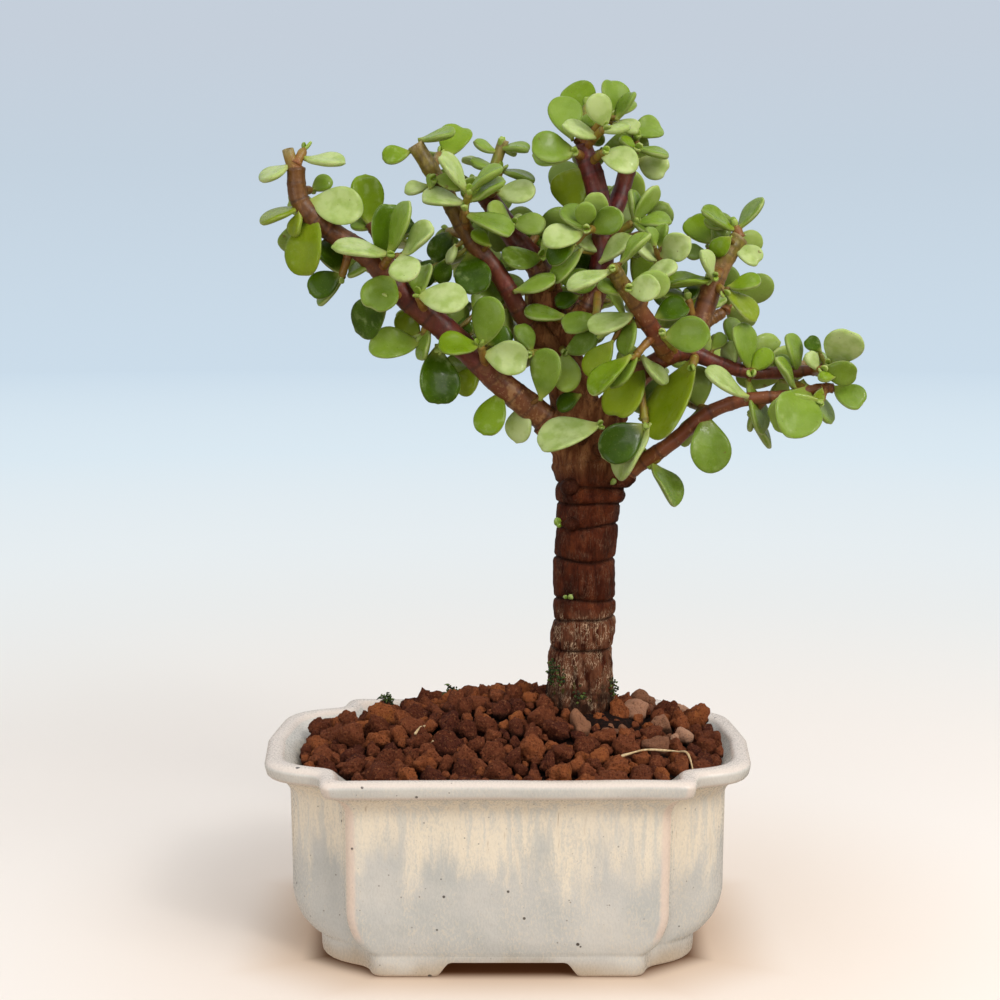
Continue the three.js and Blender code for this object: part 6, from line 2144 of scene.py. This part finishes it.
def stage_finish():
    """Plain paper: cream round the pot, shading evenly into pale blue far from it, with a shadow painted
    under the pot and round its foot.
    """
    skin = Finish("paper", {"Specular IOR Level": 0.1})
    split = skin.node("ShaderNodeSeparateXYZ", {0: skin.place})
    x, y, z = (split.outputs[axis] for axis in "XYZ")
    away = skin.math("SQRT", skin.plus(skin.times(x, x), skin.times(y, y)))
    far = skin.plus(skin.times(skin.math("MINIMUM", away, 3.0), 0.25), skin.times(z, 0.28))
    glow = skin.node("ShaderNodeEmission", {"Strength": 1.0, "Color": skin.ramp(far, BACKDROP)})
    # How far out from under the pot a place is, along the outline of its foot, for the painted shadow there
    sideways = skin.times(skin.math("ABSOLUTE", skin.plus(x, -CENTRE[0])), 0.74)
    forward = skin.math("ABSOLUTE", skin.plus(y, -CENTRE[1]))
    slanting = skin.times(skin.plus(sideways, forward), 0.6)
    shadow_reach = skin.math("MAXIMUM", skin.math("MAXIMUM", sideways, forward), slanting)
    skin.colour = skin.blend(skin.fit(away, 0.05, 0.17), "f0e1d4", "f5ece4")
    skin.paint("f4f0ea", skin.fit(away, 0.2, 0.5))
    # A soft painted shadow round the pot's foot, and a dark painted shadow under the pot
    skin.paint("d6b99d", skin.fit(shadow_reach, 0.056, 0.038), 0.7)
    skin.paint("64432a", skin.fit(shadow_reach, 0.0405, 0.034))
    surface = skin.done(0.9, skin.bump(skin.noise(1.5, 3), 0.02))
    both = skin.node("ShaderNodeMixShader", {
        0: skin.fit(away, 0.12, 0.75), 1: skin.shader.outputs[0], 2: glow.outputs[0],
    })
    skin.put(skin.tree.nodes["Material Output"].inputs["Surface"], both.outputs[0])
    return surface


def add_light(name, size, power, at, colour):
    """A flat light that points at the lower part of the crown."""
    light = bpy.data.lights.new(name, "AREA")
    light.shape = "RECTANGLE"
    light.size, light.size_y = size
    light.energy = power
    light.color = colour
    lamp = bpy.data.objects.new(name, light)
    bpy.context.scene.collection.objects.link(lamp)
    lamp.location = Vector(at) + Vector(CENTRE)
    aim = Vector(CENTRE) + Vector((0, 0, AIM_HEIGHT)) - lamp.location
    lamp.rotation_euler = aim.to_track_quat("-Z", "Y").to_euler()


def add_stage():
    """A round floor that turns up into a wall all the way round, so every side has the same backdrop."""
    mesh = bpy.data.meshes.new("floor")
    sides = 96
    bend = [
        (FLOOR_RADIUS + WALL_BEND * math.sin(a), WALL_BEND - WALL_BEND * math.cos(a))
        for a in np.linspace(0, math.pi / 2, 12)
    ]
    flat = [(radius, 0) for radius in FLOOR_RINGS]
    profile = [*flat, *bend, (FLOOR_RADIUS + WALL_BEND, WALL_HEIGHT)]
    around = np.arange(sides) * 2 * math.pi / sides
    rings = [np.column_stack([r * np.cos(around), r * np.sin(around), np.full(sides, z)]) for r, z in profile]
    faces = grid_faces(len(profile), sides) + [tuple(range(sides))[::-1]]
    mesh.from_pydata(np.concatenate(rings).tolist(), [], [face[::-1] for face in faces])
    mesh.polygons.foreach_set("use_smooth", [True] * len(mesh.polygons))
    mesh.materials.append(stage_finish())
    floor = bpy.data.objects.new("floor", mesh)
    bpy.context.scene.collection.objects.link(floor)
    # The paper is lit but lights nothing itself: the sky below the horizon stands for what it throws back
    floor.visible_diffuse = False
    floor.visible_glossy = False
    add_sky()
    for name, values in LIGHTS.items():
        add_light(name, *values)
    bpy.context.scene.view_settings.view_transform = "Standard"


def add_sky():
    """Soft light from every side, shaded by height."""
    world = bpy.data.worlds.new("pale_sky")
    world.use_nodes = True
    tree = world.node_tree
    place = tree.nodes.new("ShaderNodeTexCoord")
    split = tree.nodes.new("ShaderNodeSeparateXYZ")
    share = tree.nodes.new("ShaderNodeMapRange")
    ramp = tree.nodes.new("ShaderNodeValToRGB")
    background = tree.nodes["Background"]
    share.inputs["From Min"].default_value = -1
    set_stops(ramp.color_ramp, SKY)
    tree.links.new(place.outputs["Generated"], split.inputs[0])
    tree.links.new(split.outputs["Z"], share.inputs["Value"])
    tree.links.new(share.outputs["Result"], ramp.inputs["Fac"])
    tree.links.new(ramp.outputs["Color"], background.inputs["Color"])
    background.inputs["Strength"].default_value = 1.0
    bpy.context.scene.world = world


def add_camera():
    """The photo's camera."""
    data = bpy.data.cameras.new("photo_camera")
    data.sensor_width = 36
    data.lens = data.sensor_width * FOCUS_PIXELS / (2 * MIDDLE_PIXEL)
    data.clip_start, data.clip_end = 0.01, 20
    camera = bpy.data.objects.new("photo_camera", data)
    bpy.context.scene.collection.objects.link(camera)
    camera.location = Vector(CAMERA_PLACE / 1000 + CENTRE)
    camera.rotation_euler = (math.pi / 2 - CAMERA_DIP, 0, 0)
    bpy.context.scene.camera = camera


add_camera()
add_stage()
leaf_material = leaf_finish()
bark_material = bark_finish()
add_foliage(leaf_material, stem_finish())
add_trunk(bark_material)
granules = add_soil(granule_finish(), bed_finish())
add_roots(granules, root_finish())
add_moss(granules, moss_finish(), leaf_material)
add_pot(glaze_finish())
plastic = mesh_finish()
for name in ("drain_mesh_left", "drain_mesh_right"):
    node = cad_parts[name]
    node.data.materials.clear()
    node.data.materials.append(plastic)
    for material_slot in node.material_slots:
        material_slot.material = plastic
